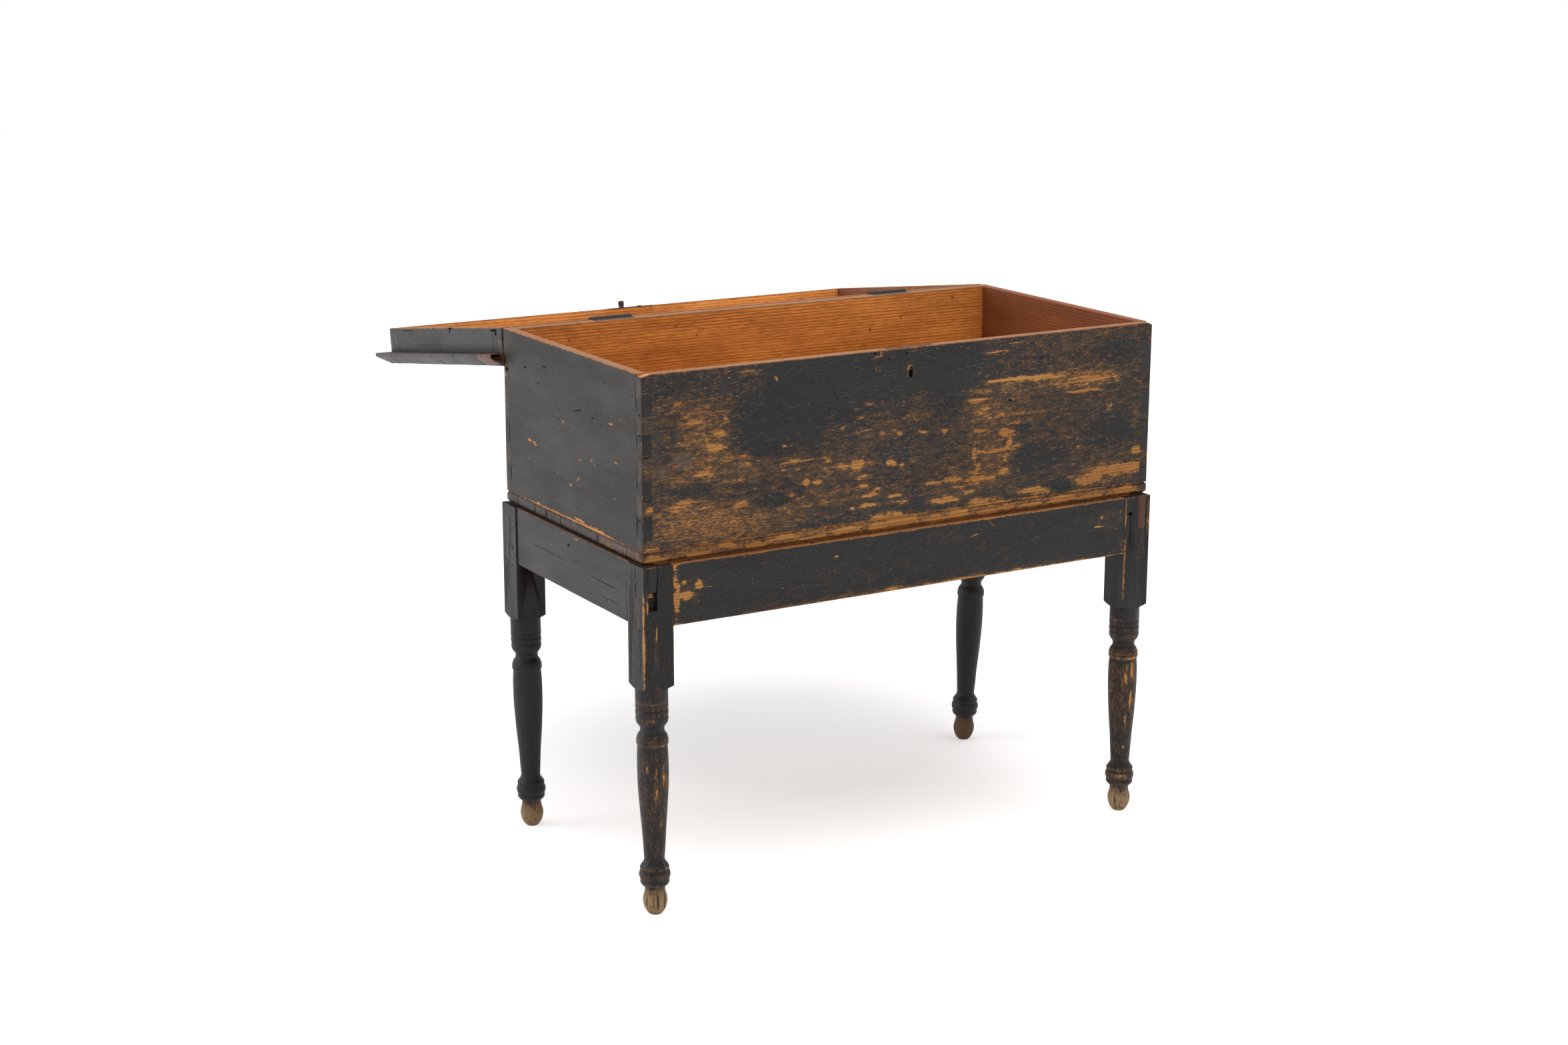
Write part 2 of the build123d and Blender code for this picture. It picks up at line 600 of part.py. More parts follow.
with BuildPart(lid_plane) as lid_front_rail:
    span_box((-half_length, half_length), (lid_front_y, lid_inner_y), lid_rails_z)
    cut_lid_tails()
    # seat and nail holes of the link plate
    span_box((lock_shift - link_plate_length / 2, lock_shift + link_plate_length / 2),
             (lid_inner_y - link_plate_width, lid_inner_y),
             (0, link_plate_thick - link_plate_proud), mode=Mode.SUBTRACT)
    link_nail_places = [
        (lock_shift + sx * link_nail_spacing / 2, lid_inner_y - link_plate_width / 2, -link_plate_proud)
        for sx in (LEFT, RIGHT)
    ]
    with Locations(*link_nail_places):
        Cylinder(link_nail_radius, link_nail_length, align=UP, mode=Mode.SUBTRACT)
save(lid_front_rail, "lid_front_rail")

with BuildPart(lid_plane) as lid_back_rail:
    span_box((-half_length, half_length), (lid_back_inner_y, chest_back_y), lid_rails_z)
    cut_lid_tails()
    for hinge_x in hinge_positions:
        span_box((hinge_x - hinge_length / 2, hinge_x + hinge_length / 2),
                 (chest_back_y - hinge_leaf_width, chest_back_y),
                 (0, hinge_leaf_thick), mode=Mode.SUBTRACT)
        with Locations(*[(hinge_x + x, hinge_screw_y, 0) for x in hinge_screw_xs]):
            Cylinder(screw_shank_radius, screw_length, align=UP, mode=Mode.SUBTRACT)
save(lid_back_rail, "lid_back_rail")

for side_name, outer_x in (("left", -half_length), ("right", half_length - lid_rail_wall)):
    with BuildPart(lid_plane) as lid_side_rail:
        span_box((outer_x, outer_x + lid_rail_wall), (lid_inner_y, lid_back_inner_y), lid_rails_z)
        with BuildSketch(on_lid(Plane.YZ.offset(outer_x))):
            draw_lid_tails()
        extrude(amount=lid_rail_wall)
    save(lid_side_rail, f"lid_{side_name}_rail")

with BuildPart(lid_plane) as link_plate:
    span_box((lock_shift - link_plate_length / 2, lock_shift + link_plate_length / 2),
             (lid_inner_y - link_plate_width, lid_inner_y),
             (-link_plate_proud, link_plate_thick - link_plate_proud))
    # the standing loop, drawn looking along the lid's depth with +Y out of the rim
    loop_view = Plane(origin=(loop_xs[0], loop_y, 0), x_dir=(1, 0, 0), z_dir=(0, 1, 0))
    with BuildSketch(on_lid(loop_view)) as loop_outline:
        with BuildLine():
            Polyline((-loop_width / 2, 0), (-loop_neck / 2, loop_neck_height),
                     (-loop_width / 2, loop_shoulder), (-loop_width / 2, loop_height),
                     (loop_width / 2, loop_height), (loop_width / 2, loop_shoulder),
                     (loop_neck / 2, loop_neck_height), (loop_width / 2, 0), close=True)
        make_face()
        fillet(loop_outline.vertices().group_by(Axis.Y)[-1], radius=loop_corner)
    extrude(amount=loop_thick / 2, both=True)
    with Locations((loop_xs[0], loop_y, -loop_eye_height)):
        Cylinder(loop_eye_radius, 2 * loop_width, rotation=ALONG_X, mode=Mode.SUBTRACT)
    # stump of the broken loop
    span_box((loop_xs[1] - stump_width / 2, loop_xs[1] + stump_width / 2),
             (loop_y - loop_thick / 2, loop_y + loop_thick / 2), (-stump_height, 0))
    with Locations(*link_nail_places):
        Cylinder(link_nail_radius, link_plate_thick, align=UP, mode=Mode.SUBTRACT)
        Cylinder(link_nail_head_radius, link_nail_head_height, align=UP, mode=Mode.SUBTRACT)
save(link_plate, "link_plate")

with BuildPart(lid_plane) as link_nails:
    with Locations(*link_nail_places):
        Cylinder(link_nail_radius, link_nail_length, align=UP)
        Cylinder(link_nail_head_radius, link_nail_head_height, align=UP)
save(link_nails, "link_nails")

# =========================================================================== stand
leg_inner = {side: from_side(side, leg_square) for side in (LEFT, RIGHT)}
end_inner = {end: from_end(end, leg_square) for end in (FRONT, BACK)}
rails_z = (rail_bottom, stand_height)
# the cone that turns the block's corners down, carried on past the corners
flare_root = turned_radius - turned_bite
flare_height = lambs_tongue * (leg_square - flare_root) / (leg_square / sqrt(2) - flare_root)

for end, name in ((FRONT, "stand_front_rail"), (BACK, "stand_back_rail")):
    with BuildPart() as long_rail:
        span_box((leg_inner[LEFT], leg_inner[RIGHT]),
                 (from_end(end, front_rail_setback), from_end(end, front_rail_setback + rail_thick)),
                 rails_z)
        for side in (LEFT, RIGHT):
            for spans in end_tenon_spans(side, end):
                span_box(*spans)
            drill_pegs(side, end)
    save(long_rail, name)

for side, name in ((LEFT, "stand_left_rail"), (RIGHT, "stand_right_rail")):
    with BuildPart() as short_rail:
        span_box((from_side(side, side_rail_setback), from_side(side, side_rail_setback + rail_thick)),
                 (end_inner[FRONT], end_inner[BACK]), rails_z)
        for end in (FRONT, BACK):
            for spans in side_tenon_spans(side, end):
                span_box(*spans)
            drill_pegs(side, end)
    save(short_rail, name)

for corner, (side, end) in corners.items():
    with BuildPart() as leg:
        # square block, with its corners turned down into the round below
        middle = (from_side(side, leg_square / 2), from_end(end, leg_square / 2))
        with BuildSketch(Plane(origin=(middle[0], middle[1], leg_block_bottom))):
            Rectangle(leg_square, leg_square)
        extrude(amount=stand_height - leg_block_bottom)
        with BuildSketch(Plane(origin=(middle[0], middle[1], 0), x_dir=(1, 0, 0), z_dir=(0, -1, 0))):
            with BuildLine():
                Polyline((0, leg_block_bottom), (flare_root, leg_block_bottom),
                         (leg_square, leg_block_bottom + flare_height),
                         (leg_square, stand_height), (0, stand_height), close=True)
            make_face()
        revolve(axis=Axis((middle[0], middle[1], 0), (0, 0, 1)), mode=Mode.INTERSECT)
        # turned part, on an axis that leans towards where the foot stands
        lean = leg_foot_lean[corner]
        up = Vector(-lean[0], -lean[1], leg_block_bottom).normalized()
        across = Vector(0, 1, 0).cross(up).normalized()
        turning_plane = Plane(origin=(middle[0] + lean[0], middle[1] + lean[1], 0),
                              x_dir=across, z_dir=across.cross(up))
        with BuildSketch(turning_plane):
            with BuildLine():
                overlap = lambs_tongue / 5
                Line((0, leg_block_bottom + overlap), (turned_radius, leg_block_bottom + overlap))
                Line((turned_radius, leg_block_bottom + overlap), leg_runs[0][0])
                for run in leg_runs:
                    if len(run) > 2:
                        Spline(*run)
                    else:
                        Line(*run)
                Line(leg_runs[-1][-1], (foot_radius, -1))
                Line((foot_radius, -1), (0, -1))
                Line((0, -1), (0, leg_block_bottom + overlap))
            make_face()
        revolve(axis=Axis(turning_plane.origin, up))
        split(bisect_by=Plane.XY, keep=Keep.TOP)
        # mortises and peg holes
        for spans in side_tenon_spans(side, end) + end_tenon_spans(side, end):
            span_box(*spans, mode=Mode.SUBTRACT)
        drill_pegs(side, end)
        mortise_x = (from_side(side, side_tenon[0]), from_side(side, side_tenon[1]))
        mortise_y = (from_end(end, 0), from_end(end, open_mortise_depth))
        if corner == "front_left":
            span_box(mortise_x, mortise_y,
                     (stand_height - open_mortise[1], stand_height - open_mortise[0]), mode=Mode.SUBTRACT)
        if corner == "front_right":
            span_box(mortise_x, mortise_y,
                     (stand_height - patch_bottom, stand_height - side_through[side]), mode=Mode.SUBTRACT)
            crack_x = from_side(side, end_pegs[0][0])
            crack_top = stand_height - end_pegs[0][1]
            span_box((crack_x - crack_width / 2, crack_x + crack_width / 2),
                     (from_end(end, 0), from_end(end, crack_depth)),
                     (crack_top - crack_length, crack_top), mode=Mode.SUBTRACT)
    save(leg, f"leg_{corner}")

with BuildPart() as mortise_patch:
    span_box((from_side(RIGHT, side_tenon[0]), from_side(RIGHT, side_tenon[1])),
             (from_end(FRONT, 0), from_end(FRONT, open_mortise_depth)),
             (stand_height - patch_bottom, stand_height - side_through[RIGHT]))
    drill_pegs(RIGHT, FRONT)
save(mortise_patch, "mortise_patch_front_right")

with BuildPart() as stand_pegs:
    for corner, (side, end) in corners.items():
        for seat, depth in peg_seats(side, end):
            lost = corner == "front_right" and depth == end_pegs[0][2] and seat.z_dir.Y != 0
            if not lost:
                with Locations(seat.offset(-peg_proud)):
                    Cylinder(peg_radius, depth + peg_proud, align=UP)
save(stand_pegs, "stand_pegs")
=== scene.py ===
"""Sugar chest on its turned stand: old charcoal paint worn through to pine, dark iron fittings.

Laid out as an add-on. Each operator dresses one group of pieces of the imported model, and the
stage operator adds the floor, the light and the camera.
"""
import json
from math import cos, pi, radians, sin

import bmesh
import bpy
from mathutils import Matrix, Vector, noise

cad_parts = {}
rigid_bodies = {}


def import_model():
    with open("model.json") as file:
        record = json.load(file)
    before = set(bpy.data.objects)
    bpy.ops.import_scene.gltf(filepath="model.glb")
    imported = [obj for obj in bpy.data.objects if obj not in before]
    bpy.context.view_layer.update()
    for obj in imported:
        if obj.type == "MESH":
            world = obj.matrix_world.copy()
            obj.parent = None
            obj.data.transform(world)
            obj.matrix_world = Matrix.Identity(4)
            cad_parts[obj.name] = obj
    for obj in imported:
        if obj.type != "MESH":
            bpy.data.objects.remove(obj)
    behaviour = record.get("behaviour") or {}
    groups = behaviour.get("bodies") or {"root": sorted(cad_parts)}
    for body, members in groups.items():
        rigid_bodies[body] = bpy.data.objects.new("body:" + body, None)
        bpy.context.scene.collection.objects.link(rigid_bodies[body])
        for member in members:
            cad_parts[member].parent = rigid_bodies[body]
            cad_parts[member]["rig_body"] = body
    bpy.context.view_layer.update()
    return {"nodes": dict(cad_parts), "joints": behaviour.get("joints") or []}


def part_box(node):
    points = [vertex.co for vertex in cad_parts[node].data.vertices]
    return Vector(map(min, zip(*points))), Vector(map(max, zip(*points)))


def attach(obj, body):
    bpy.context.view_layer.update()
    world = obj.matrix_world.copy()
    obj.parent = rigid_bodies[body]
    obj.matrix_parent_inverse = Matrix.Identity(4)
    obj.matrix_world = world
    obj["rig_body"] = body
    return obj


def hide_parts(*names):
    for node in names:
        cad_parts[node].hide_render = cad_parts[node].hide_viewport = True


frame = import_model()

bl_info = {
    "name": "Sugar Chest",
    "version": (1, 0, 0),
    "blender": (4, 5, 0),
    "location": "3D View > Sidebar > Sugar Chest",
    "description": "Worn paint, bare pine and old iron for a sugar chest on a turned stand",
    "category": "Object",
}

MM = 0.001
ORIGIN = (0, 0, 0)
HALF = (0.5, 0.5, 0.5)
BLACK = (0.0, 0.0, 0.0)
FRONTWARDS = Vector((0, -1, 0))
LEFTWARDS = Vector((-1, 0, 0))
GRAIN = {"X": ORIGIN, "Y": (0, 0, -pi / 2), "Z": (0, pi / 2, 0)}    # turns that lay a grain along X
NOISE_SEED = 7
FINE_MARK = 2.4                       # a mark thinner than this, in mm, isn't left to the mesh's points
MARK_CELL = (0.005, 0.005, 0.0025)    # cells of a face whose points carry marks
MARK_ROW = 0.005                      # marks are looked up by rows of this height
SEAT_DEPTH = 0.01                     # unevenness fades out over this towards a board's top
UNEVEN_LENGTH = 0.045
MARK_MARGIN = 0.003                   # how far past its edge a mark is looked up
MARK_WANDER = ((70, 0.0035), (190, 0.002))    # marks stray: noise cells in a metre, and reach
WANDER_ALONG, WANDER_UP = 1.6, 0.7
CRISP_FOLD = radians(35)
JOINT_REACH = 0.0015                  # how near an outer face a point of a joint lies
JOINT_DEPTH = 0.0195                  # the dovetails reach this far in from a corner
STEEP = 0.3                           # edges flatter than this run round a turning, not up it
PROUD_GAIN = 3.0

# Depths below a face between which one finish gives way to another
LINING_DEPTH = (0.0017, 0.0023)
END_DEPTH = (0.0016, 0.0008)
RIM_DEPTH = (0.0014, 0.0008)
HANDLED_DEPTH = (0.0024, 0.0012)
LEDGE_DEPTH = (0.0006, 0.0002)
CRACK_DEPTH = (0.006, 0.004)
TRAY_DEPTH = (0.0012, 0.0006)

# Heights above the floor where the shape or the finish of a leg changes
LEG_BLOCK_BOTTOM = 0.36
LEG_TURNING_TOP = 0.365
LEG_SQUARE_ONLY = 0.42                # above this a leg has only its square
BLOCK_RUBBED = (0.362, 0.372)
TURNING_RUBBED = (0.345, 0.352)
FLECKS_FADE = (0.33, 0.37)
FOOT_BARE = (0.05, 0.036)
FOOT_LIGHT = (0.022, 0.05)
FOOT_WOOD = (0.1, 0.05)
LEG_GRAIN_LINES = 220.0


def tone(red, green, blue):
    """A colour written as it shows on a screen, 0 to 255, turned into light values."""
    return tuple(((c / 255 + 0.055) / 1.055) ** 2.4 if c > 10 else c / 255 / 12.92
                 for c in (red, green, blue))


# Colours that single pieces have for themselves
SAWN_END = tone(17, 15, 13)
LEFT_SIDE_PAINT = tone(24, 21, 18)
RIGHT_SIDE_RIM = tone(134, 80, 58)
LID_RAIL_PAINT = tone(47, 47, 47)
LID_TOP_PAINT = tone(63, 62, 62)
LID_STRIP_END = tone(106, 64, 50)
RIGHT_RAIL_END = tone(96, 60, 46)
LEG_PAINT = tone(24, 23, 23)
# Painted shade in the hollows of the legs' turnings
LEG_GROOVE_PAINTED_SHADE = (0.006, 0.005, 0.005)
# Painted shade in the splits of the feet
FOOT_SPLITS = (0.012, 0.009, 0.007)


# ------------------------------------------------------------------ places of the model
front_low, front_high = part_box("chest_front")
side_low, side_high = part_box("chest_left_side")
rim_z = front_high.z
walls_low = front_low
walls_high = Vector((front_high.x, side_high.y, front_high.z))
lid_joint = next(j for j in frame["joints"] if j["name"] == "lid_hinge")
lid_slope = radians(lid_joint["range_deg"][1] - 180)
lid_turn = Matrix.Rotation(lid_slope, 4, "X")
hinge_axis = Vector((0, 0, rim_z))

bottom_boards = ["bottom_board_1", "bottom_board_2", "bottom_board_3", "bottom_board_4"]
lid_rails = ["lid_front_rail", "lid_back_rail", "lid_left_rail", "lid_right_rail"]
lid_tops = ["lid_top_board", "lid_back_strip"]
stand_rails = ["stand_front_rail", "stand_back_rail", "stand_left_rail", "stand_right_rail"]
legs = ["leg_front_left", "leg_front_right", "leg_back_left", "leg_back_right"]
lock_iron = ["lock_case", "lock_selvage", "lock_nails", "lock_key_pin", "lock_spring", "lock_bolt"]
hinge_iron = ["hinge_left_box_leaf", "hinge_left_lid_leaf", "hinge_left_pin",
              "hinge_right_box_leaf", "hinge_right_lid_leaf", "hinge_right_pin",
              "hinge_screws_box", "hinge_screws_lid"]
link_iron = ["link_plate", "link_nails"]

# Marks of wear, in millimetres: place along the board, drop below its top or the chest's rim, half
# length, half height, strength, and a tilt in degrees for the marks that have one. Places along
# the front are from its middle, and places along a side from its front. Marks below 0 keep paint.
front_marks = [
    # kept paint
    (-240, 90, 95, 62, -0.75), (-160, 25, 120, 45, -0.8), (-150, 70, 100, 50, -0.6),
    (-25, 40, 60, 50, -0.5), (65, 35, 75, 50, -0.8), (75, 90, 45, 45, -0.3), (-425, 20, 45, 20, -0.15),
    (-275, 120, 35, 25, -0.4), (-175, 132, 14, 10, -0.5), (215, 150, 20, 9, -0.6),
    (250, 200, 80, 28, -0.35), (400, 175, 70, 35, -0.45), (400, 40, 60, 25, -0.25),
    (-250, 215, 35, 14, -0.5), (-280, 185, 60, 10, -0.3), (-400, 182, 60, 8, -0.3),
    (25, 120, 50, 40, -0.1), (-110, 200, 40, 8, -0.2), (20, 255, 12, 14, -0.6),
    (300, 255, 22, 16, -0.7), (-220, 190, 25, 12, -0.3),
    # bright patches
    (-387, 80, 28, 5, 0.5), (-332, 77, 9, 6, 0.5), (-352, 121, 24, 8, 0.62), (-345, 102, 26, 7, 0.4),
    (-415, 50, 14, 5, 0.45), (-445, 55, 9, 6, 0.3), (-434, 103, 9, 14, 0.3), (-370, 160, 21, 5.5, 0.75),
    (-311, 178, 11, 4, 0.6), (-307, 79, 8, 5, 0.4, 40), (-327, 50, 5, 14, 0.4, 8),
    (-412, 203, 26, 12, 0.5), (-462, 205, 8, 8, 0.7), (-365, 208, 17, 9, 0.35), (-307, 214, 20, 8, 0.5),
    (-463, 264, 20, 9, 0.5), (-247, 27, 3, 8, 1.5, -18), (-290, 10.6, 28, 1.4, 0.8),
    (-320, 140, 30, 10, 0.25), (-400, 110, 30, 4, 0.3), (-292, 153, 8, 4, 0.6), (-181, 89, 6, 3.5, 0.9),
    (-192, 101, 8, 3.5, 0.8, 30), (-210, 114, 7, 3.5, 0.9, 30), (-222, 122, 9, 3, 0.9, 25),
    (-231, 132, 9, 3.5, 0.9, 12), (-217, 132, 7, 3, 0.8, 20), (-212, 157, 13, 3.5, 0.9),
    (-203, 159, 60, 1.8, 0.75, 1), (-152, 164, 9, 5, 0.6), (-206, 170, 8, 5, 0.7),
    (-230, 170, 7, 4, 0.45), (-189, 194, 9, 6, 1.3), (-169, 196, 10, 5, 1.3),
    (-217, 210, 13, 3.5, 0.6, 5), (-125, 176, 12, 8, 0.6), (-98, 176, 16, 10, 0.6),
    (-90, 197, 14, 4.5, 0.8, -12), (-37, 180, 15, 7, 1.1, -5), (-16, 187, 5, 8, 0.5, -20),
    (-100, 89, 16, 3.5, 0.9), (-77, 81, 16, 4, 0.6), (-95, 102, 12, 5, 0.7), (-150, 98, 12, 3, 0.6),
    (-144, 80, 10, 3, 0.5), (-127, 115, 7, 2.5, 0.7, -20), (-130, 134, 7, 2.5, 0.6, 20),
    (-120, 140, 5, 2, 0.6, -20), (-30, 129, 11, 3, 0.7), (-20, 135, 9, 4, 0.6, -25),
    (-52, 132, 14, 5, 0.45), (-12, 83, 2.5, 12, 0.9), (-92, 214, 18, 6, 0.55), (-62, 219, 14, 3.5, 0.7),
    (-77, 227, 23, 4.5, 1.1), (-105, 244, 9, 3.5, 0.9), (-72, 244, 24, 4.5, 1.0),
    (-27, 234, 16, 3.5, 0.9), (-12, 246, 22, 5, 0.7), (-40, 264, 46, 10, 0.75),
    (-147, 253, 28, 2.6, 0.6), (-100, 126, 38, 1.2, 0.7, 6), (-90, 176, 30, 14, 0.2),
    (185, 69, 60, 4, 1.0), (250, 71, 62, 6.5, 0.75), (355, 84, 88, 17, 0.42), (340, 102, 52, 3, 0.8),
    (130, 96, 26, 4, 0.95), (131, 83, 26, 6, 0.35), (142, 115, 16, 9, 0.45), (163, 127, 42, 3.5, 0.5),
    (235, 127, 42, 4.5, 0.45), (134, 147, 24, 3.2, 0.95), (205, 141, 34, 2.6, 0.6, 2),
    (180, 154, 11, 6.5, 1.2), (193, 155, 9, 4, 0.7, 15), (192, 171, 16, 4.5, 0.9, -48),
    (170, 183, 55, 2.8, 0.85), (208, 179, 14, 2.2, 0.8), (122, 180, 2.6, 24, 0.6),
    (130, 208, 9, 11, 0.45), (184, 198, 11, 9, 0.6), (184, 217, 16, 11, 0.45), (40, 222, 24, 4, 0.7),
    (82, 220, 24, 4.5, 0.6), (130, 225, 36, 6, 0.6), (100, 234, 18, 3, 0.6), (115, 245, 13, 3, 0.8),
    (160, 228, 12, 4, 0.5), (67, 253, 42, 8, 0.85), (140, 263, 48, 7, 0.7), (240, 258, 48, 9, 0.8, 4),
    (400, 240, 58, 14, 0.5, 3), (352, 252, 32, 11, 0.6), (446, 240, 30, 15, 0.6),
    (452, 213, 16, 9, 1.2), (447, 160, 7, 34, 0.4), (392, 134, 7, 5, 0.7, -40),
    (25, 138, 15, 3.4, 0.9, 3), (67, 141, 7, 7, 0.6), (5, 180, 10, 8, 0.45), (42, 20, 4, 3, 0.9),
    (200, 11, 20, 1.6, 0.6), (165, 22, 34, 1.8, 0.55), (10, 110, 30, 12, 0.3), (-2, 37, 8, 14, 1.5),
    (-61.5, 9, 8.5, 1.6, 2.0), (-61.3, 29, 8, 7, 1.1), (-55, 6, 1.4, 6, 1.8, 20),
    (328, 180.5, 2.5, 2, 2.0), (330, 193.5, 3, 2, 2.0), (402, 85, 12, 0.8, 1.6, -52),
    (0, 268.5, 500, 2.2, 0.4), (310, 175, 16, 3, 0.5, 8),
]
front_haze = [
    (-370, 100, 70, 55, 0.37), (-395, 235, 110, 46, 0.49), (-270, 245, 120, 32, 0.34),
    (-400, 55, 60, 25, 0.18), (-430, 165, 50, 34, 0.25), (-340, 160, 90, 34, 0.3),
    (-150, 225, 70, 22, 0.25), (-200, 180, 80, 24, 0.16), (-110, 180, 70, 50, 0.23),
    (-60, 130, 60, 25, 0.18), (160, 110, 90, 45, 0.25), (280, 80, 160, 22, 0.33),
    (160, 190, 70, 45, 0.2), (380, 245, 95, 22, 0.29), (-60, 235, 70, 25, 0.18),
    (110, 235, 120, 30, 0.2), (300, 20, 150, 18, 0.1),
]
front_scuffs = [
    (-406, 136, 22, 15, 0.9), (-440, 150, 20, 14, 0.5), (-283, 181, 17, 9, 0.8),
    (-458, 95, 22, 60, 0.35), (-300, 160, 40, 10, 0.3),
]
side_marks = [
    (390, 168, 9, 3.2, 1.8, -10), (371, 171, 13, 2.6, 1.8, -12), (367, 172, 5, 2.2, 1.8),
    (263, 118, 6, 4, 1.05), (100, 91, 10, 1.8, 1.54), (66, 79, 20, 0.9, 1.26, -2),
    (86, 148, 10, 1.6, 1.26, 10), (170, 161, 4, 7, 1.12), (207, 166, 6, 1.8, 1.54),
    (212, 199, 8, 2.4, 1.54, 35), (236, 212, 9, 3.6, 1.4, 15), (90, 204, 9, 3, 1.26),
    (440, 195, 6, 4, 0.98), (391, 201, 6, 2, 1.12, -30), (156, 164, 3, 2, 1.26), (360, 267, 8, 4, 1.4),
    (215, 264, 26, 4, 1.26), (150, 267, 70, 3.4, 1.12), (250, 269, 210, 2.2, 1.05),
    (474, 75, 6, 16, 0.98), (50, 162, 5, 4, 0.84),
]
bottom_marks = [
    (-450, 12, 26, 9, 0.9), (-380, 13, 30, 5, 0.8), (-330, 5, 22, 4, 0.9), (-280, 11, 26, 6, 0.7),
    (-225, 6, 20, 5, 1.0), (-180, 13, 24, 4, 0.6), (-120, 8, 30, 6, 1.0), (-60, 12, 20, 5, 0.7),
    (-15, 7, 34, 7, 1.1), (50, 11, 24, 6, 0.9), (95, 8, 22, 9, 1.1), (150, 12, 22, 5, 0.9),
    (190, 8, 22, 7, 0.7), (240, 10, 30, 5, 0.8), (300, 9, 30, 7, 0.9), (360, 11, 40, 6, 0.8),
    (430, 9, 36, 8, 1.0), (0, 18.5, 480, 2.6, 0.35),
]
bottom_haze = [
    (0, 10, 560, 18, 1.3), (-300, 4, 60, 5, -0.5), (10, 4, 50, 5, -0.6), (205, 4, 40, 5, -0.5),
]
rail_haze = [
    (0, 93, 470, 6, 0.5), (380, 30, 40, 22, 0.4), (60, 20, 60, 16, 0.25), (-405, 40, 30, 30, 0.45),
    (-130, 60, 120, 20, 0.15),
]
side_haze = [
    (240, 268, 240, 7, 0.6), (380, 170, 30, 8, 0.3), (90, 90, 40, 14, 0.25), (215, 195, 30, 14, 0.25),
    (265, 118, 14, 8, 0.4),
]
lid_cracks = [
    (282, 0, 4, 2.4, 0.7), (209, 0, 12, 3, 0.7), (212, 5, 3, 5, 0.5, 25), (30, 5, 16, 2.4, 0.8, 10),
    (22, 10, 5, 4, 0.6, -40), (36, 36, 1.2, 34, 0.6), (473, 28, 9, 1.4, 1.0, 20), (470, 50, 2, 16, 0.9),
    (400, 4, 30, 0.8, 0.6), (330, 30, 60, 0.5, 0.5), (120, 46, 90, 0.6, 0.6), (250, 60, 80, 0.6, 0.5),
]
# Cracks, a nail hole and the keyhole, painted dark as the shade of their depth; the mark at -0.5, 38.9
# paints the keyhole's hole dark
front_cracks = [
    (-467, 30.5, 9, 0.7, 0.9), (-467, 62, 9, 0.8, 1.1), (-467, 92, 9, 0.5, 0.8),
    (-466, 124, 10, 1.0, 1.3, 2), (-467, 160, 9, 0.5, 0.8), (-467, 190.5, 9, 0.9, 1.1),
    (-467, 221, 9, 0.9, 1.2), (-466, 251, 10, 0.8, 1.0), (-459, 46, 0.6, 16, 1.0),
    (-459, 236, 0.7, 16, 1.2), (-459, 108, 0.5, 15, 0.7), (191, 103, 4.5, 1.3, 1.2, -5),
    (-67.2, 4, 2.2, 1.8, 1.4), (-9, 9, 1.6, 2.0, 1.4), (467, 40, 9, 0.6, 0.9), (467, 95, 9, 0.6, 0.9),
    (467, 190, 9, 0.6, 0.9), (-0.5, 38.9, 4.8, 9.6, 1.2), (-62, 29, 3, 2.2, 0.5),
    (-140, 60, 0.6, 12, 0.8, 30), (60, 12, 5, 0.7, 0.8), (250, 40, 6, 0.7, 0.7, 5),
]
left_rail_marks = [
    (86, 12, 7, 5, 1.3), (72, 4, 16, 2.4, 1.0), (240, 5, 90, 2.2, 0.9), (150, 3, 100, 2.4, 0.7),
    (330, 40, 8, 2, 0.8, 20),
]
left_rail_cracks = [
    (130, 52, 60, 0.7, 1.0, 6), (330, 47, 90, 0.5, 0.8), (255, 20, 5, 2.2, 1.2),
    (230, 40, 12, 0.6, 1.0, 25), (115, 75, 40, 0.5, 0.7),
]
side_cracks = [
    (16, 32, 1.6, 29, 1.3), (16, 152, 1.7, 27, 1.3), (16.5, 227, 1.7, 22, 1.3), (16, 92, 1.2, 24, 0.9),
    (8, 61, 8, 0.9, 1.2), (8, 92, 8, 0.7, 0.9), (7, 124, 8, 1.5, 1.3, 5), (8, 160, 8, 0.7, 0.9),
    (8, 191, 8, 0.9, 1.1), (8, 221, 8, 0.9, 1.1), (8, 251, 8, 0.9, 1.1), (330, 40, 9, 1.0, 1.3, -10),
    (464, 30, 1.6, 27, 1.1), (464, 172, 1.4, 24, 1.0), (462, 238, 1.5, 18, 1.1), (469, 66, 6, 5, 0.6),
    (281, 116, 2.5, 2, 0.5), (205, 88, 6, 1.1, 1.2, -40), (216, 91, 5, 1.1, 1.1, -40),
    (160, 92, 4, 0.9, 1.0, -40), (400, 52, 4, 2.4, 1.1), (352, 70, 3, 1.5, 1.0), (120, 30, 3, 1.4, 0.9),
    (300, 205, 3, 1.4, 0.9), (470, 122, 8, 1.2, 1.2, 15), (470, 205, 8, 1.2, 1.2, -10),
]
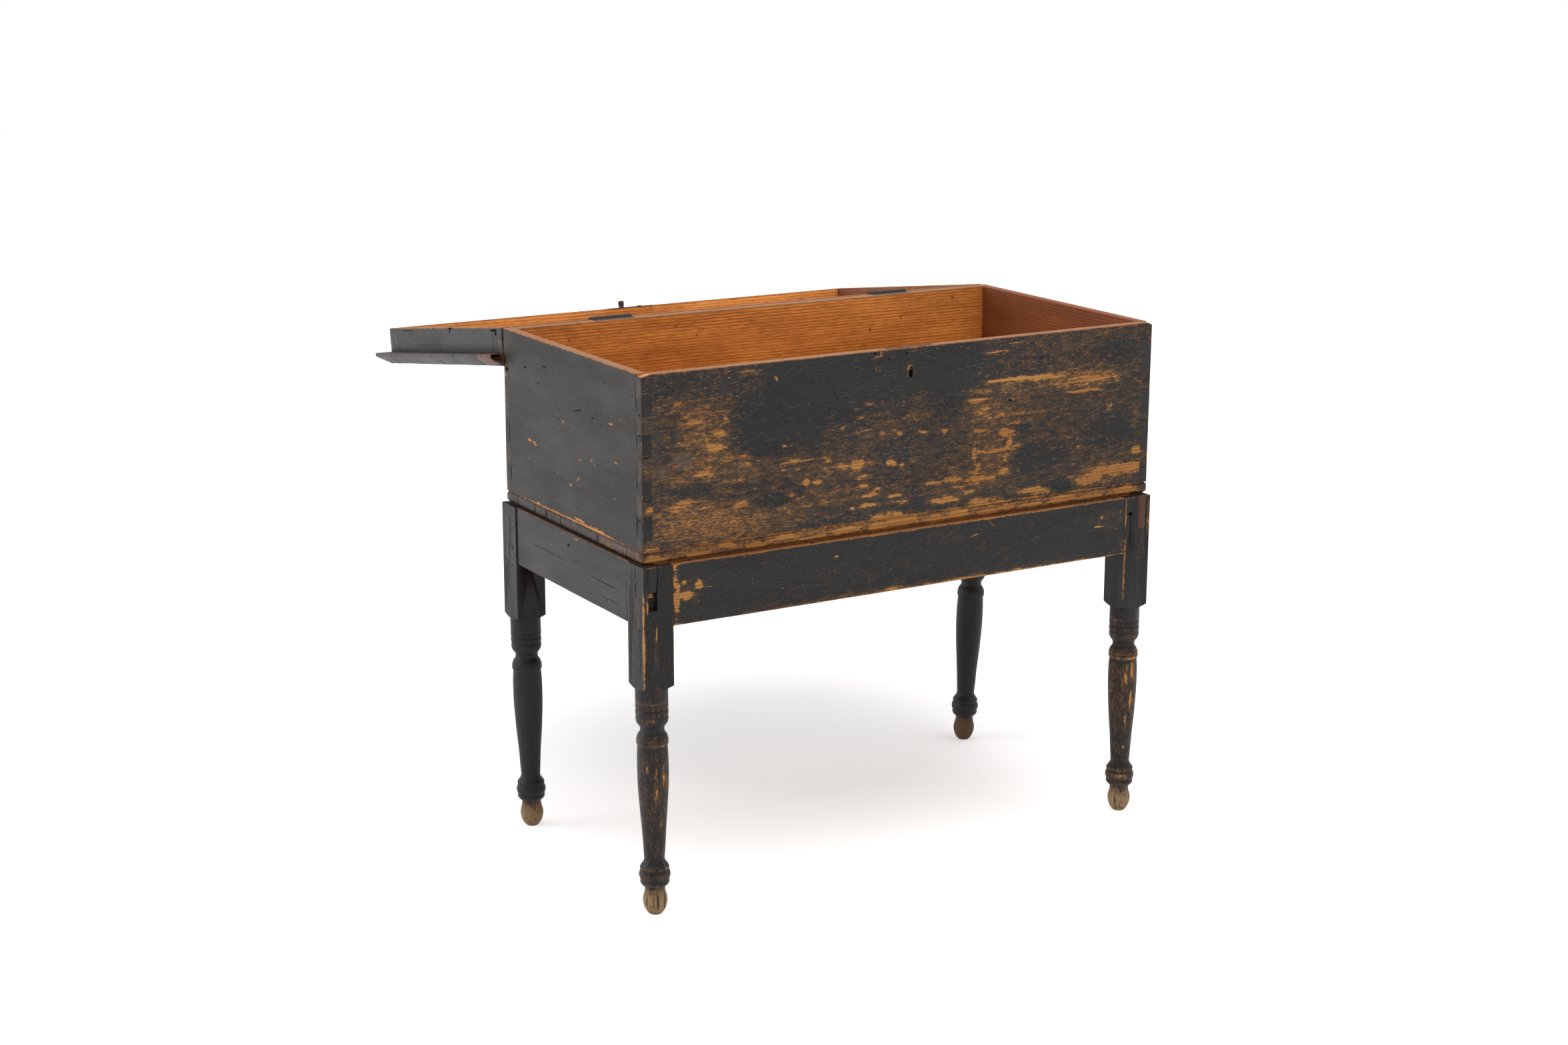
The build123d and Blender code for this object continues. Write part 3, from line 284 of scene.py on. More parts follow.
rail_marks = [
    (0, 0.0, 455, 1.2, 0.7), (0, 96.5, 300, 2.2, 0.6),
    (-428, 48, 8, 66, 1.1), (-388, 36, 7, 11, 1.5), (-416, 29, 6, 4.5, 1.3),
    (-411, 53, 10, 9, 1.3, -20), (-402, 50, 16, 5, 0.7, 25), (-436, 6, 14, 6, 0.7),
    (-146, 25, 5, 3.5, 1.3), (-276, 17, 10, 3, 0.55), (-232, 72, 5, 3.5, 0.9), (-46, 59, 4, 2.5, 1.1),
    (-145, 48, 6, 2.5, 0.7), (-370, 42, 16, 1.1, 0.8), (-300, 46, 70, 1.4, 0.5),
    (-190, 43, 50, 1.3, 0.5), (20, 59, 40, 1.1, 0.6), (372, 28, 4, 3.5, 1.3), (365, 42, 13, 2, 1.5),
    (402, 50, 6, 4, 0.9), (413, 18, 4, 20, 0.9), (415, 80, 4, 22, 0.8), (341, 30, 6, 2.5, 0.7, 25),
    (115, 24, 15, 1.6, 0.8, 10), (-40, 91, 40, 4, 0.55), (60, 94, 60, 3, 0.6), (-130, 88, 60, 3.5, 0.4),
    (250, 88, 130, 4, 0.4), (200, 94, 190, 3, 0.6), (-270, 86, 60, 3, 0.35), (240, 44, 12, 1.6, 0.6),
    (148, 8, 13, 0.7, 1.6, -48),
]

# For each leg: how rubbed it is, how streaked its turning is, how dark its foot is, and how
# handled it is, which sets its flecks and rubbed edges
leg_wear = {"leg_front_left": (-0.24, 0.34, 0.0, 0.5), "leg_front_right": (-0.2, 0.34, 0.0, 0.5),
            "leg_back_left": (-0.5, 0.06, 0.3, 0.1), "leg_back_right": (-0.6, 0.05, 0.95, 0.1)}

# Worn rings of the turning, in millimetres above the floor: place, half height and strength
leg_rings = [(339, 5, 0.25), (328.5, 4, 0.25), (317, 4, 0.25), (285, 5, 0.2), (278, 4, 0.3), (65, 6, 0.4),
             (77, 4, 0.25), (53, 5, 0.25)]
LEG_STREAKS = (200, 130)              # middle and half height of the streaked part of the turning

# Bare marks and cracks of the legs, in millimetres: inward from the outer side face, inward from
# the outer front or back face, drop below the top, their half sizes and their strength
leg_marks = {
    "leg_front_left": [
        (16, 8, 53, 10, 7, 17, 1.6), (7.5, 0, 62, 2.2, 3, 16, 0.9), (6, 0, 52, 1.8, 3, 26, 0.7),
        (22, 0, 106, 1.6, 3, 24, 0.8), (20, 0, 128, 2, 3, 34, 0.5), (1, 1, 110, 4, 4, 100, 0.7),
        (24, 0, 195, 8, 3, 12, 0.5), (6, 4, 196, 6, 6, 8, 0.5), (14, 2, 240, 14, 12, 5, 0.35),
        (33, 4, 330, 3.5, 6, 30, 0.7), (20, 4, 345, 3.2, 6, 34, 0.6), (8, 8, 320, 4, 5, 12, 0.6),
        (30, 4, 415, 3, 6, 26, 0.5), (36, 8, 470, 4, 8, 26, 0.5),
    ],
    "leg_front_right": [
        (49, 0, 120, 3.4, 4, 66, 0.66), (50, 0, 30, 2.2, 4, 34, 0.8), (22, 0, 105, 10, 3, 8, 0.5),
        (4, 0, 40, 4, 3, 40, 0.35), (22, 3, 300, 5, 6, 26, 0.7), (34, 3, 310, 4, 6, 22, 0.5),
        (24, 3, 360, 4, 6, 26, 0.6), (30, 5, 400, 4, 6, 30, 0.5), (30, 6, 442, 6, 7, 9, 1.3),
        (30, 8, 492, 16, 14, 8, 0.45),
    ],
    "leg_back_left": [
        (1, 30, 60, 3, 3, 30, 0.3),
    ],
    "leg_back_right": [
        (20, 49, 60, 3, 3, 30, 0.3),
    ],
}
leg_cracks = {
    "leg_front_left": [
        (0, 42, 96, 4, 1.26, 96, 1), (0, 25, 28, 4, 1.38, 27, 1), (0, 36, 60, 4, 0.92, 60, 0.8),
        (0, 43, 30, 4, 1.6, 4, 1), (0, 43, 80, 4, 1.6, 4, 1), (0, 12, 120, 4, 0.92, 60, 0.7),
        (8.2, 0, 20, 0.5, 4, 20, 1), (24.2, 0, 20, 0.5, 4, 21, 1), (16, 0, 39, 8, 4, 0.8, 1),
        (30, 0, 150, 0.4, 4, 40, 0.5), (17, 0, 76, 4.2, 4, 0.6, 0.7),
    ],
    "leg_front_right": [
        (40, 0, 68, 0.6, 4, 20, 1), (13, 0, 100, 6, 4, 0.6, 1), (33, 0, 56, 0.4, 4, 50, 0.6),
        (8, 0, 52, 0.5, 4, 52, 0.8), (26, 0, 140, 0.4, 4, 50, 0.5), (37, 0, 88, 1.6, 4, 1.6, 0.9),
        (10, 0, 330, 0.4, 9, 120, 0.8),
    ],
    "leg_back_left": [
        (0, 30, 40, 4, 1.15, 36, 1), (0, 20, 100, 4, 1.15, 60, 0.9), (0, 36, 70, 4, 1.6, 4, 1),
        (0, 34, 100, 4, 1.8, 3, 1), (0, 10, 130, 4, 1.15, 50, 0.8),
    ],
    "leg_back_right": [
        (0, 26, 90, 4, 1.15, 60, 0.8),
    ],
}


# ------------------------------------------------------------------------ node writing
class Bench:
    """Lays nodes in one node tree, and takes sockets or plain values as inputs; called b below."""

    def __init__(self, tree):
        self.tree = tree

    def put(self, kind, values, **settings):
        node = self.tree.nodes.new(kind)
        for name, value in settings.items():
            setattr(node, name, value)
        for key, value in values.items():
            self.feed(node.inputs[key], value)
        return node

    def feed(self, socket, value):
        if isinstance(value, bpy.types.NodeSocket):
            self.tree.links.new(value, socket)
        elif socket.type == "RGBA" and len(value) == 3:
            socket.default_value = (*value, 1)
        else:
            socket.default_value = value

    def sums(self, operation, *values):
        return self.put("ShaderNodeMath", dict(enumerate(values)), operation=operation).outputs[0]

    def times(self, first, second):
        return self.sums("MULTIPLY", first, second)

    def plus(self, first, second):
        return self.sums("ADD", first, second)

    def times_plus(self, first, second, third):
        return self.sums("MULTIPLY_ADD", first, second, third)

    def most(self, first, second):
        return self.sums("MAXIMUM", first, second)

    def object_place(self):
        return self.put("ShaderNodeTexCoord", {}).outputs["Object"]

    def carried(self, name):
        """A value that the mesh's points carry."""
        return self.put("ShaderNodeAttribute", {}, attribute_name=name).outputs["Fac"]

    def seen(self):
        """1 for rays from the camera, in mirrors or through glass, 0 for the rays that light."""
        ray = self.put("ShaderNodeLightPath", {}).outputs
        return self.most(ray["Is Camera Ray"], self.most(ray["Is Glossy Ray"], ray["Is Transmission Ray"]))

    def vector(self, operation, *values):
        node = self.put("ShaderNodeVectorMath", dict(enumerate(values)), operation=operation)
        return node.outputs["Value" if operation in ("LENGTH", "DOT_PRODUCT") else "Vector"]

    def remap(self, value, start, end, low=0.0, high=1.0, smooth=False):
        node = self.put("ShaderNodeMapRange",
                        {"Value": value, "From Min": start, "From Max": end, "To Min": low, "To Max": high},
                        interpolation_type="SMOOTHSTEP" if smooth else "LINEAR")
        return node.outputs["Result"]

    def mix(self, share, first, second):
        return self.put("ShaderNodeMix", {0: share, 6: first, 7: second}, data_type="RGBA").outputs[2]

    def noise(self, vector, scale=1.0, detail=2.0, roughness=0.5):
        values = {"Vector": vector, "Scale": scale, "Detail": detail, "Roughness": roughness}
        return self.put("ShaderNodeTexNoise", values).outputs

    def stretch(self, vector, scale, place=ORIGIN, turn=ORIGIN):
        return self.put("ShaderNodeMapping", {"Vector": vector, "Location": place, "Rotation": turn,
                                              "Scale": scale}).outputs["Vector"]

    def drawn_noise(self, vector, scale, detail, roughness=0.5, place=ORIGIN, turn=ORIGIN):
        """Noise drawn out by a scale of its own along each axis."""
        return self.noise(self.stretch(vector, scale, place, turn), detail=detail, roughness=roughness)[0]

    def shaken(self, where, by, reach):
        """Points moved at random: by is a noise's colour, and reach says how far it moves them."""
        return self.vector("MULTIPLY_ADD", self.vector("SUBTRACT", by, HALF), reach, where)

    def ragged_rim(self, value, by, reach):
        """A distance that wavers by up to reach, so that what ends there has a ragged rim."""
        return self.plus(value, self.remap(by, 0.3, 0.7, -reach, reach))

    def parts(self, vector):
        return self.put("ShaderNodeSeparateXYZ", {"Vector": vector}).outputs

    def group(self, name, **values):
        node = self.tree.nodes.new("ShaderNodeGroup")
        node.node_tree = bpy.data.node_groups[name]
        for key, value in values.items():
            self.feed(node.inputs[key.replace("_", " ")], value)
        return node.outputs


def new_group(name, inputs, outputs):
    """An empty node group: its bench, its inputs and its outputs.

    inputs gives each input's default: a number, three for a vector or four for a colour.
    """
    tree = bpy.data.node_groups.new(name, "ShaderNodeTree")
    for label, default in inputs.items():
        kind = "Float" if isinstance(default, float) else {3: "Vector", 4: "Color"}[len(default)]
        socket = tree.interface.new_socket(label, in_out="INPUT", socket_type="NodeSocket" + kind)
        socket.default_value = default
    for label in outputs:
        kind = "Color" if label == "Color" else "Float"
        tree.interface.new_socket(label, in_out="OUTPUT", socket_type="NodeSocket" + kind)
    entry = tree.nodes.new("NodeGroupInput")
    leave = tree.nodes.new("NodeGroupOutput")
    return Bench(tree), entry.outputs, leave.inputs


def build_wear_spot(tilted):
    """One soft spot, added to a running sum: strongest in its middle, nothing at its rim."""
    sockets = {"Sum": 0.0, "Vector": ORIGIN, "Centre": ORIGIN, "Share": (1, 1, 1), "Strength": 1.0}
    if tilted:
        sockets["Tilt"] = 0.0
    b, given, out = new_group("tilted wear spot" if tilted else "wear spot", sockets, ["Sum"])
    away = b.vector("SUBTRACT", given["Vector"], given["Centre"])
    if tilted:
        away = b.put("ShaderNodeVectorRotate", {"Vector": away, "Angle": given["Tilt"]},
                     rotation_type="Y_AXIS").outputs[0]
    scaled = b.vector("MULTIPLY", away, given["Share"])
    fall = b.sums("SUBTRACT", 1.0, b.vector("DOT_PRODUCT", scaled, scaled))
    b.feed(out["Sum"], b.times_plus(b.most(fall, 0.0), given["Strength"], given["Sum"]))


def build_box_edges():
    """Distances from a point on a box to its nearest edge, its top and its upright faces."""
    b, given, out = new_group("box edges", {"Vector": ORIGIN, "Centre": ORIGIN, "Half": (1, 1, 1)},
                              ["Edge", "Skin", "Top", "X", "Y"])
    away = b.vector("SUBTRACT", given["Vector"], given["Centre"])
    inward = b.vector("SUBTRACT", given["Half"], b.vector("ABSOLUTE", away))
    x, y, z = b.parts(inward)
    nearest = b.sums("MINIMUM", x, y)
    edge = b.most(nearest, b.sums("MINIMUM", b.most(x, y), z))
    top = b.sums("SUBTRACT", b.parts(given["Half"])[2], b.parts(away)[2])
    for label, value in (("Edge", edge), ("Skin", nearest), ("Top", top), ("X", x), ("Y", y)):
        b.feed(out[label], value)


def build_end_grain():
    """Speckle and short splits of sawn ends, and dark nicks of a handled face."""
    b, given, out = new_group("end grain", {"Vector": ORIGIN, "Splits": (260, 260, 30)},
                              ["Speckle", "Split", "Nick"])
    where = given["Vector"]
    speckle = b.noise(where, scale=900.0, detail=2.0, roughness=0.7)[0]
    b.feed(out["Speckle"], b.remap(speckle, 0.5, 0.66))
    split = b.noise(b.vector("MULTIPLY", where, given["Splits"]), detail=1.5)[0]
    b.feed(out["Split"], b.remap(split, 0.63, 0.67))
    nick = b.drawn_noise(where, (150, 150, 190), 1.0, place=(2, 5, 8))
    b.feed(out["Nick"], b.remap(nick, 0.745, 0.77))


def build_pine_grain():
    """Growth lines, blotches and fibres of a pine board; the grain runs along X."""
    b, given, out = new_group("pine grain", {
        "Vector": ORIGIN, "Lines": 160.0, "Waviness": 0.004, "Seed": 0.0}, ["Late", "Blotch", "Fibre"])
    shift = b.put("ShaderNodeCombineXYZ", {axis: given["Seed"] for axis in "XYZ"}).outputs[0]
    place = b.vector("ADD", given["Vector"], shift)
    bend = b.sums("SUBTRACT", b.drawn_noise(place, (1.6, 7, 7), 2.0), 0.5)
    _, y, z = b.parts(given["Vector"])
    across = b.times_plus(y, 0.6, z)
    ring = b.times(b.times_plus(bend, given["Waviness"], across), given["Lines"])
    ring = b.plus(b.drawn_noise(place, (0.6, 40, 40), 1.0), ring)
    share = b.sums("FRACT", ring)
    late = b.times(b.remap(share, 0.4, 0.85, smooth=True), b.remap(share, 1.0, 0.92))
    strength = b.remap(b.drawn_noise(place, (2.5, 70, 70), 2.0), 0.35, 0.65, 0.45, 1.0)
    b.feed(out["Late"], b.times(late, strength))
    b.feed(out["Blotch"], b.remap(b.drawn_noise(place, (5, 16, 16), 4.0, roughness=0.6), 0.32, 0.68))
    b.feed(out["Fibre"], b.remap(b.drawn_noise(place, (60, 850, 850), 3.0, roughness=0.6), 0.3, 0.7))


def build_flaking():
    """Breaks paint up along the grain: where it is gone, half gone and rubbed thin."""
    b, given, out = new_group("flaking", {"Vector": ORIGIN, "Wear": 0.0, "Haze": 0.0, "Flecks": 0.0},
                              ["Bare", "Half", "Thin", "Scratch", "Mottle", "Crackle"])
    where = given["Vector"]
    broad = b.drawn_noise(where, (42, 130, 130), 6.0, roughness=0.62)
    fine = b.drawn_noise(where, (150, 620, 620), 4.0, roughness=0.65, place=(3, 1, 2))
    streak = b.times_plus(broad, 0.62, b.times(fine, 0.38))
    b.feed(out["Mottle"], b.remap(fine, 0.3, 0.7))
    crazed = b.drawn_noise(where, (430, 800, 800), 3.0, roughness=0.7, place=(1, 6, 3))
    away = b.sums("ABSOLUTE", b.sums("SUBTRACT", crazed, 0.5))
    b.feed(out["Crackle"], b.remap(away, 0.045, 0.01))
    level = b.plus(b.remap(streak, 0.34, 0.66, 0.0, 1.0), given["Wear"])
    hazed = b.times_plus(given["Haze"], 1.3, level)
    fleck = b.drawn_noise(where, (130, 1100, 1100), 1.0, place=(7, 3, 5))
    fleck = b.times(b.remap(fleck, 0.66, 0.72), given["Flecks"])
    bare = b.remap(b.times_plus(given["Haze"], 0.5, level), 1.0, 1.07)
    b.feed(out["Bare"], b.most(bare, b.times(fleck, b.remap(level, 0.1, 0.5, 0.2, 1.0))))
    b.feed(out["Half"], b.remap(hazed, 0.95, 1.15))
    b.feed(out["Thin"], b.remap(hazed, 0.45, 0.95))
    hair = b.drawn_noise(where, (50, 900, 900), 1.0, place=(9, 4, 6), turn=(0, 0.15, 0.15))
    b.feed(out["Scratch"], b.times(b.remap(hair, 0.67, 0.73), given["Flecks"]))


def build_old_paint():
    """Colour, roughness and height of old paint over pine, worn as the masks say."""
    b, given, out = new_group("old paint", {
        "Bare": 0.0, "Half": 0.0, "Thin": 0.0, "Scratch": 0.0, "Scuff": 0.0, "Crackle": 0.0, "Fibre": 0.5,
        "Blotch": 0.5, "Wood": (0.4, 0.2, 0.06, 1), "Paint": (0.02, 0.02, 0.02, 1),
        "Brown": (0.06, 0.04, 0.03, 1), "Grey": (0.15, 0.15, 0.15, 1), "Streaks": 0.25},
        ["Color", "Roughness", "Height"])
    deep = b.mix(0.5, given["Paint"], BLACK)
    coat = b.mix(b.times(given["Blotch"], 0.45), given["Paint"], deep)
    coat = b.mix(b.times(b.remap(given["Fibre"], 0.55, 0.9), given["Streaks"]), coat, given["Grey"])
    streaked = b.times(given["Thin"], b.remap(given["Fibre"], 0.2, 0.8, 0.35, 1.0))
    coat = b.mix(streaked, coat, given["Brown"])
    flaked = b.times(given["Half"], b.remap(given["Fibre"], 0.35, 0.65, 0.05, 0.6))
    coat = b.mix(flaked, coat, given["Wood"])
    coat = b.mix(b.times(given["Scratch"], 0.5), coat, given["Grey"])
    coat = b.mix(b.times(given["Scuff"], b.most(given["Crackle"], 0.25)), coat, given["Grey"])
    b.feed(out["Color"], b.mix(given["Bare"], coat, given["Wood"]))
    rough = b.times_plus(given["Fibre"], 0.12, b.remap(given["Bare"], 0.0, 1.0, 0.4, 0.55))
    rough = b.times_plus(given["Blotch"], 0.14, rough)
    b.feed(out["Roughness"], b.times_plus(given["Scuff"], 0.15, rough))
    lift = b.sums("SUBTRACT", 1.0, given["Bare"])
    b.feed(out["Height"], b.times_plus(given["Fibre"], 0.35, b.times(lift, 0.6)))


def new_material(name):
    material = bpy.data.materials.new(name)
    material.use_nodes = True
    material.node_tree.nodes.clear()
    return material, Bench(material.node_tree)


def close_material(b, color, roughness, height, depth=0.0004, strength=0.6, **shader):
    """The surface shader and output; `shader` holds constants for its other sockets."""
    bump = b.put("ShaderNodeBump", {"Height": height, "Distance": depth, "Strength": strength})
    values = {"Base Color": color, "Roughness": roughness, "Normal": bump.outputs[0]}
    values.update({key.replace("_", " "): value for key, value in shader.items()})
    surface = b.put("ShaderNodeBsdfPrincipled", values)
    b.put("ShaderNodeOutputMaterial", {"Surface": surface.outputs[0]})


def is_fine(mark):
    """Whether a mark is too thin for a mesh's points to carry it."""
    return min(mark[2], mark[3]) < FINE_MARK


def measures(marks):
    """Each mark's six measures, with a tilt of 0 where a mark gives none."""
    return [(*mark, 0)[:6] for mark in marks]


def lay_marks(b, where, marks, place, total=0.0):
    """Adds up marks. `place` turns a mark's own two measures into a point."""
    for along, drop, length, height, strength, tilt in measures(marks):
        centre, across = place(along * MM, drop * MM)
        share = [0.0, 0.0, 1 / (height * MM)]
        share["XY".index(across)] = 1 / (length * MM)
        spot = b.group("tilted wear spot" if tilt else "wear spot",
                       Sum=total, Vector=where, Centre=centre, Share=share, Strength=strength)
        total = spot["Sum"]
        if tilt:
            total.node.inputs["Tilt"].default_value = radians(tilt)
    return total


def carry_marks(work, name, marks, place):
    """Writes the sum of the broader marks on each point of a mesh."""
    layer = work.verts.layers.float.new(name)
    axis = "XY".index(place(0, 0)[1])
    rows = {}
    for along, drop, length, height, strength, tilt in measures(marks):
        centre = place(along * MM, drop * MM)[0]
        turn, lean = cos(radians(tilt)), sin(radians(tilt))
        reach = (abs(length * lean) + abs(height * turn)) * MM + MARK_MARGIN
        spot = (centre[axis], centre[2], length * MM, height * MM, strength, turn, lean)
        for row in range(int((centre[2] - reach) / MARK_ROW), int((centre[2] + reach) / MARK_ROW) + 1):
            rows.setdefault(row, []).append(spot)
    for v in work.verts:
        total = 0.0
        wander = Vector()
        for cells, reach in MARK_WANDER:
            wander += noise.noise_vector(v.co * cells) * reach
        for along, up, length, height, strength, turn, lean in rows.get(int(v.co.z / MARK_ROW), ()):
            aside = v.co[axis] + WANDER_ALONG * wander.x - along
            rise = v.co.z + WANDER_UP * wander.z - up
            first, second = (aside * turn - rise * lean) / length, (aside * lean + rise * turn) / height
            total += strength * max(0.0, 1 - first * first - second * second)
        v[layer] = total


def shivered(b, where):
    """Points shifted a little and at random, so that cracks drawn on them aren't straight."""
    shiver = b.noise(where, scale=160.0, detail=3.0, roughness=0.6)["Color"]
    return b.shaken(where, shiver, (0.0035, 0.0035, 0.0035))


def paint_material(name, low, high, grain="X", marks=(), scuffs=(), cracks=(), place=None, wear=0.0,
                   edge=0.5, edge_width=0.0025, flecks=0.5, brown=0.5, streaks=0.1, speckle=0.35, nicks=0.0,
                   paint=None, rim=None, bare_top=None, ledge_width=0.0018, end_tone=None, splits=None,
                   lined="walls", lining=None, lining_top=0.0, frame_turn=None, seamed=False, seed=0.0):
    """Old paint on the outer faces of a box, with bare or varnished pine inside it.

    low and high are the corners of the box that the paint covers, grain is the axis the board's
    fibres follow, and frame_turn brings a turned piece back level first. wear, edge and flecks
    bare the wood on the faces, at the edges and in small chips. brown and streaks say how brown
    the thin paint is and how grey its fibres are. rim, bare_top and end_tone are colours of the
    rim, of a worn ledge and of sawn ends; further in than ledge_width the ledge is painted dark as
    the shadow of the chest on it. Cracks, nicks, splits and joint seams are painted dark as the
    shade of their depth, and Metallic takes their reflection away. lined says what lies inside:
    walls, a tray or nothing.
    """
    finish = bpy.context.scene.sugar_chest_finish
    material, b = new_material(name)
    where = b.object_place()
    if frame_turn is not None:
        rotation = frame_turn.to_euler()
        where = b.stretch(where, (1, 1, 1), place=-(frame_turn @ hinge_axis), turn=rotation)
    along = b.stretch(where, (1, 1, 1), turn=GRAIN[grain])
    grain_out = b.group("pine grain", Vector=along, Lines=finish.grain_lines, Waviness=0.01, Seed=seed)
    shape = b.group("box edges", Vector=where, Centre=(low + high) / 2, Half=(high - low) / 2)
    ragged = b.noise(where, scale=90.0, detail=4.0, roughness=0.65)
    warped = b.shaken(where, ragged["Color"], (0.012, 0.012, 0.007))
    total = b.remap(grain_out["Blotch"], 0.0, 1.0, wear - 0.18, wear + 0.12)
    if marks:
        total = b.plus(total, b.carried("rubbed"))
        total = lay_marks(b, warped, filter(is_fine, marks), place, total)
    rubbed = b.remap(shape["Edge"], edge_width, 0.0, 0.0, edge)
    rubbed = b.times(rubbed, b.remap(ragged[0], 0.38, 0.6, 0.35, 1.25))
    total = b.plus(total, rubbed)
    haze = b.carried("hazed") if marks else 0.0
    flakes = b.group("flaking", Vector=along, Wear=total, Haze=haze, Flecks=flecks)
    scuff = b.carried("scuffed") if scuffs else 0.0
    bare = b.mix(grain_out["Late"], finish.bare_pine, finish.bare_pine_dark)
    bare = b.mix(b.times(grain_out["Blotch"], 0.5), bare, finish.bare_pine_dark)
    bare = b.mix(b.times(b.remap(grain_out["Fibre"], 0.6, 1.0), 0.35), bare, finish.thin_paint)
    coat = b.group("old paint", Bare=flakes["Bare"], Half=b.times(flakes["Half"], brown),
                   Thin=b.times(flakes["Thin"], brown), Scratch=flakes["Scratch"], Scuff=scuff,
                   Fibre=flakes["Mottle"], Crackle=flakes["Crackle"], Blotch=grain_out["Blotch"], Wood=bare,
                   Paint=paint or finish.paint, Brown=finish.thin_paint, Grey=finish.scuffed_paint,
                   Streaks=streaks)
    color, roughness, height = coat["Color"], coat["Roughness"], coat["Height"]
    if bare_top:
        crest = b.ragged_rim(shape["Top"], ragged[0], 0.0008)
        ledge = b.mix(b.times(grain_out["Blotch"], 0.6), bare_top, finish.thin_paint)
        # Painted shadow: further in than ledge_width the ledge turns the dark hollow colour, as the shade
        # under the chest's bottom
        ledge = b.mix(b.remap(shape["Skin"], ledge_width, ledge_width + 0.0015), ledge, finish.hollow)
        color = b.mix(b.remap(crest, *LEDGE_DEPTH), color, ledge)
    sawn = b.group("end grain", Vector=where, Splits=splits or ORIGIN)
    at_end = b.remap(shape["Y" if grain == "Y" else "X"], *END_DEPTH)
    color = b.mix(b.times(at_end, b.times(sawn["Speckle"], speckle)), color, finish.scuffed_paint)
    if end_tone:
        color = b.mix(b.times(at_end, 0.85), color,
                      b.mix(b.times(grain_out["Blotch"], 0.3), end_tone, finish.thin_paint))
    hollow = b.times(sawn["Nick"], nicks)
    if splits:
        hollow = b.most(hollow, b.times(at_end, sawn["Split"]))
    if lined:
        pale, dark = lining or (finish.varnished_pine, finish.varnished_pine_dark)
        inside = b.mix(b.times(grain_out["Late"], 0.75), pale, dark)
        inside = b.mix(b.remap(grain_out["Fibre"], 0.45, 0.9, 0.0, 0.6), inside, dark)
        inside = b.mix(b.times(grain_out["Blotch"], 0.6), inside, dark)
        knots = b.noise(where, scale=75.0, detail=1.0)[0]
        inside = b.mix(b.remap(knots, 0.72, 0.78, 0.0, 0.7), inside, finish.thin_paint)
        inner = b.remap(b.ragged_rim(shape["Skin"], ragged[0], 0.0008), *LINING_DEPTH)
        if lined == "tray":
            above = b.remap(b.parts(where)[2], *(lining_top - depth for depth in TRAY_DEPTH))
            inner = b.times(inner, above)
        color = b.mix(inner, color, inside)
        smooth = b.times_plus(grain_out["Fibre"], 0.12, 0.36)
        roughness = b.mix(inner, roughness, smooth)
        if rim:
            crest = b.remap(b.ragged_rim(shape["Top"], ragged[0], 0.001), *RIM_DEPTH)
            rubbed_top = b.mix(b.times(grain_out["Blotch"], 0.6), rim, finish.bare_pine_dark)
            handled = b.times(b.remap(shape["Skin"], *HANDLED_DEPTH), b.remap(ragged[0], 0.4, 0.6))
            rubbed_top = b.mix(handled, rubbed_top, finish.reddened_pine)
            color = b.mix(crest, color, rubbed_top)
            roughness = b.mix(crest, roughness, (0.75, 0.75, 0.75))
    if cracks:
        torn = lay_marks(b, shivered(b, where), cracks, place)
        outside = b.remap(shape["Skin"], *CRACK_DEPTH)
        hollow = b.most(hollow, b.times(outside, b.remap(torn, 0.05, 0.4)))
    # Painted shade in the grooves of the joints that rub_edges marked
    if seamed:
        seam = b.carried("seam")
        hollow = b.most(hollow, b.remap(seam, 0.1, 0.6, 0.0, 0.9))
    # Painted shade: cracks, nicks, splits, joint seams and the keyhole take the dark hollow colour for the
    # shade of their depth, and Metallic takes their reflection away
    color = b.mix(hollow, color, finish.hollow)
    roughness = b.mix(hollow, roughness, (1, 1, 1))
    close_material(b, color, roughness, height, Metallic=hollow, Specular_IOR_Level=finish.paint_gloss)
    return material


def lay_leg_marks(b, where, node, marks, block, total):
    """Adds up a leg's marks, which are placed inward from the outer faces of its square block."""
    low, high = block
    for aside, inward, drop, wide, deep, tall, strength in marks:
        centre = (low.x + aside * MM if "left" in node else high.x - aside * MM,
                  low.y + inward * MM if "front" in node else high.y - inward * MM,
                  high.z - drop * MM)
        share = (1 / (wide * MM), 1 / (deep * MM), 1 / (tall * MM))
        total = b.group("wear spot", Sum=total, Vector=where, Centre=centre, Share=share,
                        Strength=strength)["Sum"]
    return total


